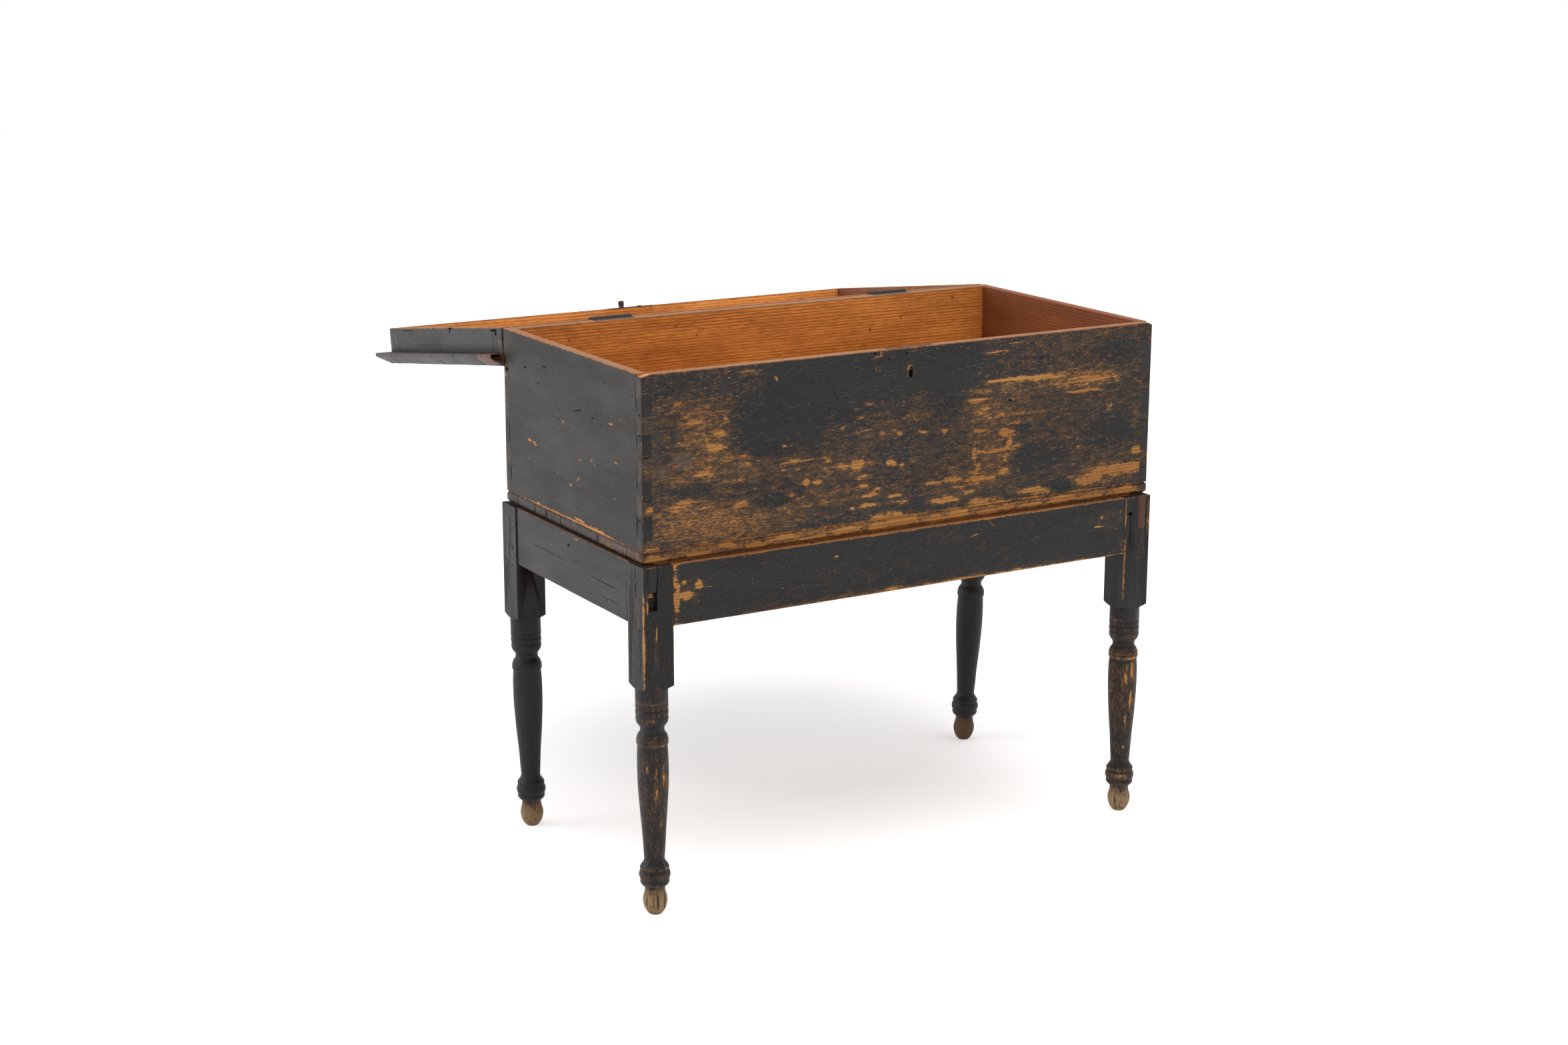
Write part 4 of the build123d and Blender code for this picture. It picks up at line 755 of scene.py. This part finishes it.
def leg_material(node, number):
    """Paint on a turned leg: kept on the square, streaked on the turning, gone from the foot."""
    finish = bpy.context.scene.sugar_chest_finish
    material, b = new_material(node + " paint")
    rubbing, streaking, soot, handling = leg_wear[node]
    low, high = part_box(node)
    middle = (low + high) / 2
    square = [v.co for v in frame["nodes"][node].data.vertices if v.co.z > LEG_SQUARE_ONLY]
    block_low = Vector((min(p.x for p in square), min(p.y for p in square), LEG_BLOCK_BOTTOM))
    block_high = Vector((max(p.x for p in square), max(p.y for p in square), high.z))
    where = b.object_place()
    along = b.stretch(where, (1, 1, 1), turn=GRAIN["Z"])
    grain_out = b.group("pine grain", Vector=along, Lines=LEG_GRAIN_LINES, Waviness=0.01, Seed=2.3 * number)
    shape = b.group("box edges", Vector=where, Centre=(block_low + block_high) / 2,
                    Half=(block_high - block_low) / 2)
    shiver = b.noise(where, scale=110.0, detail=4.0, roughness=0.65)
    ragged = shiver[0]
    warped = b.shaken(where, shiver["Color"], (0.003, 0.003, 0.006))
    height = b.parts(where)[2]
    on_block = b.remap(height, *BLOCK_RUBBED)
    rubbed = b.times(b.remap(shape["Edge"], 0.0025, 0.0, 0.0, 1.1 * handling), on_block)
    patchy = b.remap(grain_out["Blotch"], 0.0, 1.0, rubbing - 0.2, rubbing + 0.15)
    total = b.times_plus(rubbed, b.remap(ragged, 0.35, 0.6, 0.6, 1.4), patchy)
    proud = b.carried("proud")
    below_block = b.remap(height, *TURNING_RUBBED, 0.25 + 0.75 * handling, 0.0)
    total = b.times_plus(b.remap(proud, 0.05, 1.0), below_block, total)
    rings = [(place, tall, strength * 1.6 * handling) for place, tall, strength in leg_rings]
    for place, tall, strength in [*rings, (*LEG_STREAKS, streaking)]:
        centre = (middle.x, middle.y, place * MM)
        total = b.group("wear spot", Sum=total, Vector=where, Centre=centre,
                        Share=(0.0, 0.0, 1 / (tall * MM)), Strength=strength)["Sum"]
    block = (block_low, block_high)
    total = lay_leg_marks(b, warped, node, leg_marks[node], block, total)
    cracked = lay_leg_marks(b, shivered(b, where), node, leg_cracks[node], block, 0.0)
    cracked = b.remap(cracked, 0.05, 0.35)
    flecks = b.remap(height, *FLECKS_FADE, handling, 0.12 * handling)
    flakes = b.group("flaking", Vector=along, Wear=total, Flecks=flecks)
    foot = b.remap(b.ragged_rim(height, ragged, 0.012), *FOOT_BARE)
    handled = b.mix(b.times_plus(grain_out["Late"], 0.6, b.times(grain_out["Blotch"], 0.4)),
                    finish.foot_wood, finish.foot_wood_dark)
    split = b.drawn_noise(where, (260, 260, 9), 1.0)
    # Painted shade in the feet's splits
    handled = b.mix(b.remap(split, 0.62, 0.66, 0.0, 0.85), handled, FOOT_SPLITS)
    handled = b.mix(b.remap(height, *FOOT_LIGHT, 0.1 + soot, 0.6 + soot), handled, finish.foot_wood_dark)
    bare = b.mix(grain_out["Late"], finish.bare_pine, finish.bare_pine_dark)
    bare = b.mix(b.remap(height, *FOOT_WOOD), bare, handled)
    flaked = b.most(flakes["Bare"], b.times(foot, b.remap(ragged, 0.36, 0.44, 0.55, 1.0)))
    coat = b.group("old paint", Bare=flaked, Half=b.times(flakes["Half"], 0.6), Thin=flakes["Thin"],
                   Scratch=flakes["Scratch"], Fibre=flakes["Mottle"], Blotch=grain_out["Blotch"],
                   Wood=bare, Paint=LEG_PAINT, Brown=finish.thin_paint, Grey=finish.scuffed_paint,
                   Streaks=0.1)
    # Painted shade: the turning's hollows, where the mesh points lie below their neighbours, are darkened
    color = b.mix(b.remap(proud, 0.0, -0.5, 0.0, 0.8), coat["Color"], LEG_GROOVE_PAINTED_SHADE)
    # Painted shade: the legs' cracks take the dark hollow colour for the shade of their depth, and Metallic
    # takes their reflection away
    color = b.mix(cracked, color, finish.hollow)
    roughness = b.mix(cracked, coat["Roughness"], (1, 1, 1))
    close_material(b, color, roughness, coat["Height"], Metallic=cracked,
                   Specular_IOR_Level=finish.paint_gloss)
    return material


def iron_material(name, warmth):
    """Old hand-worked iron: dark, pitted, with rust in its hollows."""
    finish = bpy.context.scene.sugar_chest_finish
    material, b = new_material(name)
    where = b.object_place()
    pits = b.noise(where, scale=700.0, detail=5.0, roughness=0.65)[0]
    cloud = b.noise(where, scale=140.0, detail=4.0, roughness=0.6)[0]
    rusty = b.remap(cloud, 0.45, 0.62, 0.0, warmth)
    color = b.mix(b.remap(pits, 0.4, 0.65), finish.iron, b.mix(0.5, finish.iron, BLACK))
    color = b.mix(rusty, color, finish.rust)
    metal = b.remap(rusty, 0.0, 1.0, 0.25, 0.05)
    rough = b.times_plus(pits, 0.35, 0.55)
    close_material(b, color, rough, pits, depth=0.0003, strength=0.5, Metallic=metal)
    return material


# --------------------------------------------------------------------------- shaping
def carry_proudness(work, below):
    """Writes how far each point of a turning stands proud of its neighbours, up and down it."""
    layer = work.verts.layers.float.new("proud")
    work.normal_update()
    for v in work.verts:
        if v.co.z > below:
            continue
        around = [e.other_vert(v).co - v.co for e in v.link_edges]
        around = [away for away in around if abs(away.z) > STEEP * away.length]
        if around:
            hollow = sum(away.normalized().dot(v.normal) for away in around) / len(around)
            v[layer] = max(-1.0, min(1.0, -PROUD_GAIN * hollow))


def rub_edges(work, width, shortest, jointed=None):
    """Rounds the long crisp edges of a board, and marks the grooves of its joints.

    jointed says whether a point lies in a joint.
    """
    layer = work.verts.layers.float.new("seam") if jointed else None
    crisp = [e for e in work.edges
             if e.is_manifold and e.calc_face_angle(0) > CRISP_FOLD and e.calc_length() > shortest]
    rounded = bmesh.ops.bevel(work, geom=crisp, offset=width, offset_type="OFFSET", affect="EDGES",
                              segments=2, profile=0.5, material=-1, clamp_overlap=True)
    if jointed:
        new_faces = set(rounded["faces"])
        for v in rounded["verts"]:
            if jointed(v.co) and all(f in new_faces for f in v.link_faces):
                v[layer] = 1.0


def cut_cells(work, size, facing=None):
    """Cuts a board into cells, so that its faces can be uneven or carry marks.

    size is one length or one for each axis; only faces that look the way of facing are cut.
    """
    sizes = (size,) * 3 if isinstance(size, float) else size
    faces = [f for f in work.faces if facing is None or f.normal.dot(facing) > 0.9]
    geometry = faces + list(dict.fromkeys(e for f in faces for e in f.edges))
    geometry += dict.fromkeys(v for f in faces for v in f.verts)
    low = Vector(min(v.co[k] for v in work.verts) for k in range(3))
    high = Vector(max(v.co[k] for v in work.verts) for k in range(3))
    for axis in range(3):
        count = int((high[axis] - low[axis]) / sizes[axis])
        normal = Vector([1.0 if k == axis else 0.0 for k in range(3)])
        for step in range(1, count):
            place = low + normal * (high[axis] - low[axis]) * step / count
            geometry = bmesh.ops.bisect_plane(work, geom=geometry, plane_co=place, plane_no=normal)["geom"]


def make_uneven(work, amount, length):
    """Moves each point a little, as hand-planed and worn wood is; a top that carries a rail stays level."""
    top = max(v.co.z for v in work.verts)
    for v in work.verts:
        shift = noise.noise_vector(v.co / length) * amount
        shift.z *= min(1.0, (top - v.co.z) / SEAT_DEPTH)
        v.co += shift


def dressed(node, material, width=0.0, shortest=0.006, cell=0.0, amount=0.0, turn=None, crisp=28,
            worn=None, turned_below=None, jointed=None):
    """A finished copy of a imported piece, which stands for it.

    Edges longer than shortest are rounded by width, and the faces are cut into cells and moved
    by up to amount. turn brings a turned piece level first, crisp is the fold in degrees that
    stays sharp, turned_below the top of a turning, and jointed says what lies in a joint. worn
    holds the marks, the haze and the scuffs of one face, the function that places them and the
    way the face looks.
    """
    noise.seed_set(NOISE_SEED)
    source = frame["nodes"][node]
    work = bmesh.new()
    work.from_mesh(source.data)
    bmesh.ops.remove_doubles(work, verts=work.verts, dist=1e-6)
    if width:
        bmesh.ops.dissolve_limit(work, angle_limit=radians(1), verts=work.verts, edges=work.edges)
        rub_edges(work, width, shortest, jointed)
    if turn is not None:
        work.transform(turn @ Matrix.Translation(-hinge_axis))
    if cell:
        cut_cells(work, cell)
    if worn:
        cut_cells(work, MARK_CELL, facing=worn[4])
    if amount:
        make_uneven(work, amount, UNEVEN_LENGTH)
    if turn is not None:
        work.transform(Matrix.Translation(hinge_axis) @ turn.inverted())
    if turned_below is not None:
        carry_proudness(work, turned_below)
    if worn:
        marks, haze, scuffs, place, _ = worn
        carry_marks(work, "rubbed", [m for m in marks if not is_fine(m)], place)
        carry_marks(work, "hazed", haze, place)
        carry_marks(work, "scuffed", scuffs, place)
    mesh = bpy.data.meshes.new(node + "_worn")
    work.to_mesh(mesh)
    work.free()
    mesh.polygons.foreach_set("use_smooth", [True] * len(mesh.polygons))
    mesh.set_sharp_from_angle(angle=radians(crisp))
    mesh.materials.append(material)
    piece = bpy.data.objects.new(node + "_worn", mesh)
    bpy.context.scene.collection.objects.link(piece)
    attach(piece, source["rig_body"])
    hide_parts(node)
    return piece


def refinish(node, material):
    """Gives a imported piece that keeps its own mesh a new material."""
    data = frame["nodes"][node].data
    data.materials.clear()
    data.materials.append(material)


# -------------------------------------------------------------------------- settings
def a_colour(name, description, red, green, blue):
    return bpy.props.FloatVectorProperty(
        name=name, description=description, subtype="COLOR", min=0, max=1, default=tone(red, green, blue))


def a_length(name, description, default, low=0.0, high=60.0):
    return bpy.props.FloatProperty(
        name=name, description=description, unit="LENGTH", min=low, max=high, default=default)


def an_angle(name, description, degrees):
    return bpy.props.FloatProperty(
        name=name, description=description, subtype="ANGLE", default=radians(degrees))


class SugarChestFinish(bpy.types.PropertyGroup):
    """Colours and gloss of the chest's finishes."""
    paint: a_colour("Paint", "Old charcoal paint", 33, 34, 35)
    thin_paint: a_colour("Thin paint", "Paint rubbed thin over the wood", 104, 76, 50)
    scuffed_paint: a_colour("Scuffed paint", "Paint scuffed grey", 118, 112, 106)
    bare_pine: a_colour("Bare pine", "Wood where the paint is gone", 216, 154, 84)
    bare_pine_dark: a_colour("Bare pine lines", "Dark growth lines of the bare wood", 150, 92, 48)
    varnished_pine: a_colour("Varnished pine", "Wood inside the chest", 252, 173, 87)
    varnished_pine_dark: a_colour("Varnished pine lines", "Dark growth lines inside the chest", 136, 72, 30)
    # Darker pine of the right end's inside: partly the wood's own darker tone, partly painted shade
    darker_pine_and_painted_shade: a_colour("Shaded pine", "Darker varnished wood of the right end", 150, 92, 54)
    darker_pine_lines_and_painted_shade: a_colour("Shaded pine lines", "Dark growth lines of the right end", 92, 52, 32)
    # Painted shade: laid dark in cracks, nicks, splits, joint grooves and the keyhole as the shade of their
    # depth, and on the stand's ledges as the shadow of the chest
    hollow: a_colour("Hollows", "Dark depth of cracks, nicks and open joints", 30, 25, 22)
    ledge: a_colour("Ledge", "Bare top of the stand's front rail", 176, 112, 62)
    reddened_pine: a_colour("Reddened pine", "Bare wood that has gone red-brown with age", 152, 88, 66)
    foot_wood: a_colour("Foot wood", "Handled bare wood of the feet", 198, 166, 122)
    foot_wood_dark: a_colour("Foot wood lines", "Dark lines of the feet", 96, 72, 52)
    rim_pine: a_colour("Rim", "Wood of the rubbed rim", 160, 118, 84)
    iron: a_colour("Iron", "Dark iron of the lock and hinges", 58, 52, 50)
    rust: a_colour("Rust", "Rust in the hollows of the iron", 84, 60, 50)
    paint_gloss: bpy.props.FloatProperty(
        name="Gloss", description="Strength of the finish's reflection", subtype="FACTOR", min=0, max=1,
        default=0.25)
    grain_lines: bpy.props.FloatProperty(
        name="Growth lines", description="Growth lines in a metre of board", min=20, max=600, default=190)


class SugarChestWear(bpy.types.PropertyGroup):
    """How far the boards are rubbed and uneven."""
    edge_round: a_length("Rubbed edges", "Width of the boards' rounded edges", 0.0007, 0.0001, 0.003)
    cell: a_length("Cell", "Size of the cells that make the faces uneven", 0.016, 0.005, 0.1)
    unevenness: a_length("Unevenness", "How far the faces wander from flat", 0.0003, 0, 0.002)


class SugarChestStage(bpy.types.PropertyGroup):
    """Camera, floor and lamps."""
    camera_place: bpy.props.FloatVectorProperty(
        name="Camera", description="Place of the camera", subtype="TRANSLATION", unit="LENGTH",
        default=(-2.1783, -3.7551, 1.5438))
    azimuth: an_angle("Azimuth", "Turn of the camera about the upright axis", -30.78)
    elevation: an_angle("Elevation", "How far the camera looks down", 13.97)
    roll: an_angle("Roll", "Turn of the camera about its own axis", 0.145)
    lens: bpy.props.FloatProperty(
        name="Lens", description="Focal length on a 36 mm wide sensor", subtype="DISTANCE_CAMERA",
        default=58.67)
    floor_size: a_length("Floor", "Side of the square floor", 24, 5, 60)


SETTINGS = {"sugar_chest_finish": SugarChestFinish, "sugar_chest_wear": SugarChestWear,
            "sugar_chest_stage": SugarChestStage}


# -------------------------------------------------------------------------- operators
class SUGARCHEST_OT_finishes(bpy.types.Operator):
    """Build the shared node groups for grain, wear spots, flaking and old paint"""
    bl_idname = "sugar_chest.finishes"
    bl_label = "Finishes"

    def execute(self, context):
        build_wear_spot(tilted=False)
        build_wear_spot(tilted=True)
        build_box_edges()
        build_end_grain()
        build_pine_grain()
        build_flaking()
        build_old_paint()
        return {"FINISHED"}


def along_face(low, top, axis):
    """A function that places marks on an outer face: along its axis, and down from its top."""
    def place(along, drop):
        start = (along, low.y) if axis == "X" else (low.x, low.y + along)
        return (*start, top - drop), axis
    return place


def on_piece(node, axis):
    low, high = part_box(node)
    return along_face(low, high.z, axis)


on_front = along_face(front_low, rim_z, "X")
on_side = along_face(Vector((side_low.x, front_low.y, 0)), rim_z, "Y")
on_bottom = on_piece("bottom_board_1", "X")
on_front_rail = on_piece("stand_front_rail", "X")
on_left_rail = on_piece("stand_left_rail", "Y")


def in_dovetails(point):
    """Whether a point lies on one outer face of the chest's corner joints."""
    beside = walls_high.x - abs(point.x)
    behind = min(point.y - walls_low.y, walls_high.y - point.y)
    at_outside = (beside < JOINT_REACH) != (behind < JOINT_REACH)
    return at_outside and max(beside, behind) < JOINT_DEPTH and point.z < rim_z - JOINT_REACH


class SUGARCHEST_OT_chest(bpy.types.Operator):
    """Dress the four dovetailed walls of the chest"""
    bl_idname = "sugar_chest.chest"
    bl_label = "Chest Walls"

    def execute(self, context):
        wear = context.scene.sugar_chest_wear
        finish = context.scene.sugar_chest_finish
        recipes = {
            "chest_front": dict(marks=front_marks, scuffs=front_scuffs, cracks=front_cracks, place=on_front,
                                wear=0.1, edge=0.45, flecks=1.0, brown=0.95, streaks=0.07, speckle=0.08,
                                nicks=0.6, rim=finish.rim_pine, end_tone=SAWN_END),
            "chest_back": dict(wear=0.0, edge=0.45, speckle=0.08, rim=finish.rim_pine, end_tone=SAWN_END,
                               seed=3.1),
            "chest_left_side": dict(grain="Y", marks=side_marks, cracks=side_cracks, place=on_side,
                                    wear=-0.4, edge=0.9, flecks=0.15, brown=0.15, streaks=0.03,
                                    speckle=0.3, nicks=0.45, paint=LEFT_SIDE_PAINT, rim=finish.rim_pine,
                                    seed=5.7),
            # The right end's inside takes the darker pine, partly its own tone and partly painted shade
            "chest_right_side": dict(grain="Y", wear=-0.3, edge=0.7, brown=0.3, rim=RIGHT_SIDE_RIM,
                                     lining=(finish.darker_pine_and_painted_shade, finish.darker_pine_lines_and_painted_shade), seed=9.3),
        }
        worn = {"chest_front": (front_marks, front_haze, front_scuffs, on_front, FRONTWARDS),
                "chest_left_side": (side_marks, side_haze, (), on_side, LEFTWARDS)}
        for node, recipe in recipes.items():
            material = paint_material(node + " paint", walls_low, walls_high, seamed=True, **recipe)
            dressed(node, material, width=wear.edge_round, cell=wear.cell,
                    amount=wear.unevenness, worn=worn.get(node), jointed=in_dovetails)
        return {"FINISHED"}


class SUGARCHEST_OT_bottom(bpy.types.Operator):
    """Dress the boards of the chest's bottom"""
    bl_idname = "sugar_chest.bottom"
    bl_label = "Bottom Boards"

    def execute(self, context):
        wear = context.scene.sugar_chest_wear
        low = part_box("bottom_board_1")[0]
        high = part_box("bottom_board_4")[1]
        for number, node in enumerate(bottom_boards):
            is_front = number == 0
            material = paint_material(node + " paint", low, high, marks=bottom_marks if is_front else (),
                                      place=on_bottom, wear=-0.1, edge=0.1, brown=1.0, seed=2.0 * number,
                                      splits=(20, 270, 25))
            dressed(node, material, width=wear.edge_round, cell=wear.cell,
                    amount=wear.unevenness * 0.7, shortest=0.02, crisp=40,
                    worn=(bottom_marks, bottom_haze, (), on_bottom, FRONTWARDS) if is_front else None)
        return {"FINISHED"}


class SUGARCHEST_OT_lid(bpy.types.Operator):
    """Dress the lid's boards and rails, which lie turned back on the hinges"""
    bl_idname = "sugar_chest.lid"
    bl_label = "Lid"

    def execute(self, context):
        wear = context.scene.sugar_chest_wear
        finish = context.scene.sugar_chest_finish
        corners = [lid_turn @ (Vector((x, y, z)) - hinge_axis)
                   for node in lid_rails for x in (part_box(node)[0].x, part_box(node)[1].x)
                   for y, z in ((v.co.y, v.co.z) for v in frame["nodes"][node].data.vertices)]
        low = Vector(min(c[k] for c in corners) for k in range(3))
        high = Vector(max(c[k] for c in corners) for k in range(3))

        for number, node in enumerate(lid_rails):
            grain = "Y" if "left" in node or "right" in node else "X"
            # The right rail's inside takes the darker pine, partly its own tone and partly painted shade
            lining = (finish.darker_pine_and_painted_shade, finish.darker_pine_lines_and_painted_shade) if "right" in node else None
            marked = dict(cracks=lid_cracks, place=along_face(low, high.z, "Y")) if "left" in node else {}
            material = paint_material(node + " paint", low, high, grain=grain, wear=-0.45, edge=0.6,
                                      brown=0.2, streaks=0.06, nicks=0.4, paint=LID_RAIL_PAINT,
                                      rim=finish.rim_pine, lining=lining, frame_turn=lid_turn,
                                      seed=1.3 * number, **marked)
            dressed(node, material, width=wear.edge_round, cell=wear.cell,
                    amount=wear.unevenness, turn=lid_turn)
        for number, node in enumerate(lid_tops):
            end_tone = LID_STRIP_END if node == "lid_back_strip" else None
            material = paint_material(node + " paint", low, high, wear=-0.4, edge=0.0, brown=0.3,
                                      streaks=0.25, paint=LID_TOP_PAINT, end_tone=end_tone,
                                      splits=(20, 270, 40), lined="tray", lining_top=low.z,
                                      frame_turn=lid_turn, seed=4.0 + number)
            dressed(node, material, width=wear.edge_round, cell=wear.cell,
                    amount=wear.unevenness * 1.5, turn=lid_turn, shortest=0.004)
        return {"FINISHED"}


class SUGARCHEST_OT_stand(bpy.types.Operator):
    """Dress the rails of the stand"""
    bl_idname = "sugar_chest.stand"
    bl_label = "Stand Rails"

    def execute(self, context):
        wear = context.scene.sugar_chest_wear
        finish = context.scene.sugar_chest_finish
        for number, node in enumerate(stand_rails):
            low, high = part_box(node)
            # Each rail's ledge is bare wood at its outer edge and painted shadow further in, under the
            # chest
            recipe = dict(grain="Y" if "left" in node or "right" in node else "X", wear=-0.32, edge=0.55,
                          edge_width=0.003, brown=0.35, lined="", seed=1.7 * number, nicks=0.4,
                          bare_top=finish.reddened_pine, flecks=0.25, speckle=0.12, splits=(260, 260, 12),
                          end_tone=RIGHT_RAIL_END if node == "stand_right_rail" else None)
            if node == "stand_left_rail":
                recipe.update(marks=left_rail_marks, place=on_left_rail, cracks=left_rail_cracks)
            worn = None
            if node == "stand_front_rail":
                recipe.update(marks=rail_marks, place=on_front_rail, wear=-0.16, flecks=0.5, brown=0.45,
                              edge=1.0, bare_top=finish.ledge, ledge_width=0.009)
                worn = (rail_marks, rail_haze, (), on_front_rail, FRONTWARDS)
            dressed(node, paint_material(node + " paint", low, high, **recipe),
                    width=wear.edge_round * 1.6, cell=wear.cell, amount=wear.unevenness, worn=worn)
        return {"FINISHED"}


class SUGARCHEST_OT_legs(bpy.types.Operator):
    """Dress the turned legs"""
    bl_idname = "sugar_chest.legs"
    bl_label = "Legs"

    def execute(self, context):
        wear = context.scene.sugar_chest_wear
        for number, node in enumerate(legs):
            dressed(node, leg_material(node, number), amount=wear.unevenness, crisp=24,
                    turned_below=LEG_TURNING_TOP)
        return {"FINISHED"}


class SUGARCHEST_OT_pegs(bpy.types.Operator):
    """Dress the pegs of the stand and the patch in its mortise"""
    bl_idname = "sugar_chest.pegs"
    bl_label = "Pegs and Patch"

    def execute(self, context):
        for node, slot in (("stand_pegs", "peg_wood"), ("mortise_patch_front_right", "stand_paint")):
            low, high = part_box(node)
            material = paint_material(node + " paint", low, high, grain="Z", wear=-0.1, edge=0.3, lined="",
                                      brown=0.6)
            dressed(node, material, width=0.0004, shortest=0.003)
        return {"FINISHED"}


class SUGARCHEST_OT_iron(bpy.types.Operator):
    """Give the lock, the hinges and the link plate their old iron"""
    bl_idname = "sugar_chest.iron"
    bl_label = "Iron Fittings"

    def execute(self, context):
        dark = iron_material("hinge iron", 0.35)
        brown = iron_material("lock iron", 0.8)
        for node in hinge_iron:
            refinish(node, dark)
        for node in lock_iron + link_iron:
            refinish(node, brown)
        return {"FINISHED"}


# name, place, aim, side and power of each lamp
LAMPS = [
    ("overhead_softbox", (0.2, -0.6, 3.4), (0, -0.2, 0.5), 3.0, 55),
    ("left_softbox", (-3.4, 1.6, 1.5), (0, -0.2, 0.6), 2.4, 60),
]
# The floor's painted glow is weakest round this point and grows further out
SHADOW_MIDDLE = (0.18, 0.12, 0)       # the floor is darkest round this point
SENSOR_WIDTH = 36.0
FURTHEST_SEEN = 100


class SUGARCHEST_OT_stage(bpy.types.Operator):
    """Add the pale floor, the soft light and the camera"""
    bl_idname = "sugar_chest.stage"
    bl_label = "Stage"

    def execute(self, context):
        stage = context.scene.sugar_chest_stage
        self.lay_floor(stage)
        self.light_world(context)
        self.hang_lamps(context)
        self.set_camera(context, stage)
        context.scene.view_settings.view_transform = "Standard"
        return {"FINISHED"}

    @staticmethod
    def lay_floor(stage):
        work = bmesh.new()
        bmesh.ops.create_grid(work, x_segments=1, y_segments=1, size=stage.floor_size / 2)
        mesh = bpy.data.meshes.new("studio_floor")
        work.to_mesh(mesh)
        work.free()
        floor = bpy.data.objects.new("studio_floor", mesh)
        bpy.context.scene.collection.objects.link(floor)
        material, b = new_material("studio floor")
        diffuse = b.put("ShaderNodeBsdfDiffuse", {"Color": (0.8, 0.79, 0.79, 1)})
        where = b.object_place()
        # Painted glow for camera, glossy and transmission rays: weakest round SHADOW_MIDDLE, it whitens the
        # floor away from the chest and leaves a darker pool over the real shadow
        distance = b.vector("LENGTH", b.vector("SUBTRACT", where, SHADOW_MIDDLE))
        far = b.plus(b.remap(distance, 0.25, 0.8, 0.4, 0.7), b.remap(distance, 1.2, 3.6, 0.0, 0.4))
        lift = b.put("ShaderNodeEmission", {"Color": (1, 1, 1, 1), "Strength": b.times(b.seen(), far)})
        both = b.put("ShaderNodeAddShader", {0: diffuse.outputs[0], 1: lift.outputs[0]})
        b.put("ShaderNodeOutputMaterial", {"Surface": both.outputs[0]})
        mesh.materials.append(material)

    @staticmethod
    def light_world(context):
        world = bpy.data.worlds.new("studio")
        world.use_nodes = True
        world.node_tree.nodes.clear()
        b = Bench(world.node_tree)
        strength = b.remap(b.seen(), 0, 1, 0.55, 1.0)
        glow = b.put("ShaderNodeBackground", {"Color": (1, 1, 1, 1), "Strength": strength})
        b.put("ShaderNodeOutputWorld", {"Surface": glow.outputs[0]})
        context.scene.world = world

    @staticmethod
    def hang_lamps(context):
        for name, place, aim, size, power in LAMPS:
            lamp = bpy.data.lights.new(name, "AREA")
            lamp.shape = "SQUARE"
            lamp.size = size
            lamp.energy = power
            holder = bpy.data.objects.new(name, lamp)
            holder.location = place
            holder.visible_camera = False
            holder.rotation_euler = (Vector(aim) - Vector(place)).to_track_quat("-Z", "Y").to_euler()
            context.scene.collection.objects.link(holder)

    @staticmethod
    def set_camera(context, stage):
        lens = bpy.data.cameras.new("camera")
        lens.sensor_width = SENSOR_WIDTH
        lens.lens = stage.lens
        lens.clip_end = FURTHEST_SEEN
        camera = bpy.data.objects.new("camera", lens)
        turn, rise, roll = stage.azimuth, stage.elevation, stage.roll
        back = Vector((sin(turn) * cos(rise), -cos(turn) * cos(rise), sin(rise)))
        right = Vector((0, 0, 1)).cross(back).normalized()
        up = back.cross(right)
        tilted = (cos(roll) * right + sin(roll) * up, cos(roll) * up - sin(roll) * right, back)
        camera.matrix_world = Matrix.Translation(stage.camera_place) @ Matrix(tilted).transposed().to_4x4()
        context.scene.collection.objects.link(camera)
        context.scene.camera = camera


OPERATORS = [SUGARCHEST_OT_finishes, SUGARCHEST_OT_chest, SUGARCHEST_OT_bottom, SUGARCHEST_OT_lid,
             SUGARCHEST_OT_stand, SUGARCHEST_OT_legs, SUGARCHEST_OT_pegs, SUGARCHEST_OT_iron,
             SUGARCHEST_OT_stage]


class SUGARCHEST_PT_panel(bpy.types.Panel):
    """Lists the steps that dress the sugar chest"""
    bl_idname = "SUGARCHEST_PT_panel"
    bl_label = "Sugar Chest"
    bl_space_type = "VIEW_3D"
    bl_region_type = "UI"
    bl_category = "Sugar Chest"

    def draw(self, context):
        for name, kind in SETTINGS.items():
            box = self.layout.box()
            for key in kind.__annotations__:
                box.prop(getattr(context.scene, name), key)
        for operator in OPERATORS:
            self.layout.operator(operator.bl_idname)


def register():
    for kind in [*SETTINGS.values(), *OPERATORS, SUGARCHEST_PT_panel]:
        bpy.utils.register_class(kind)
    for name, kind in SETTINGS.items():
        setattr(bpy.types.Scene, name, bpy.props.PointerProperty(type=kind))


def unregister():
    for name in SETTINGS:
        delattr(bpy.types.Scene, name)
    for kind in reversed([*SETTINGS.values(), *OPERATORS, SUGARCHEST_PT_panel]):
        bpy.utils.unregister_class(kind)


def main():
    register()
    for operator in OPERATORS:
        group, name = operator.bl_idname.split(".")
        getattr(getattr(bpy.ops, group), name)()


if __name__ == "__main__":
    main()
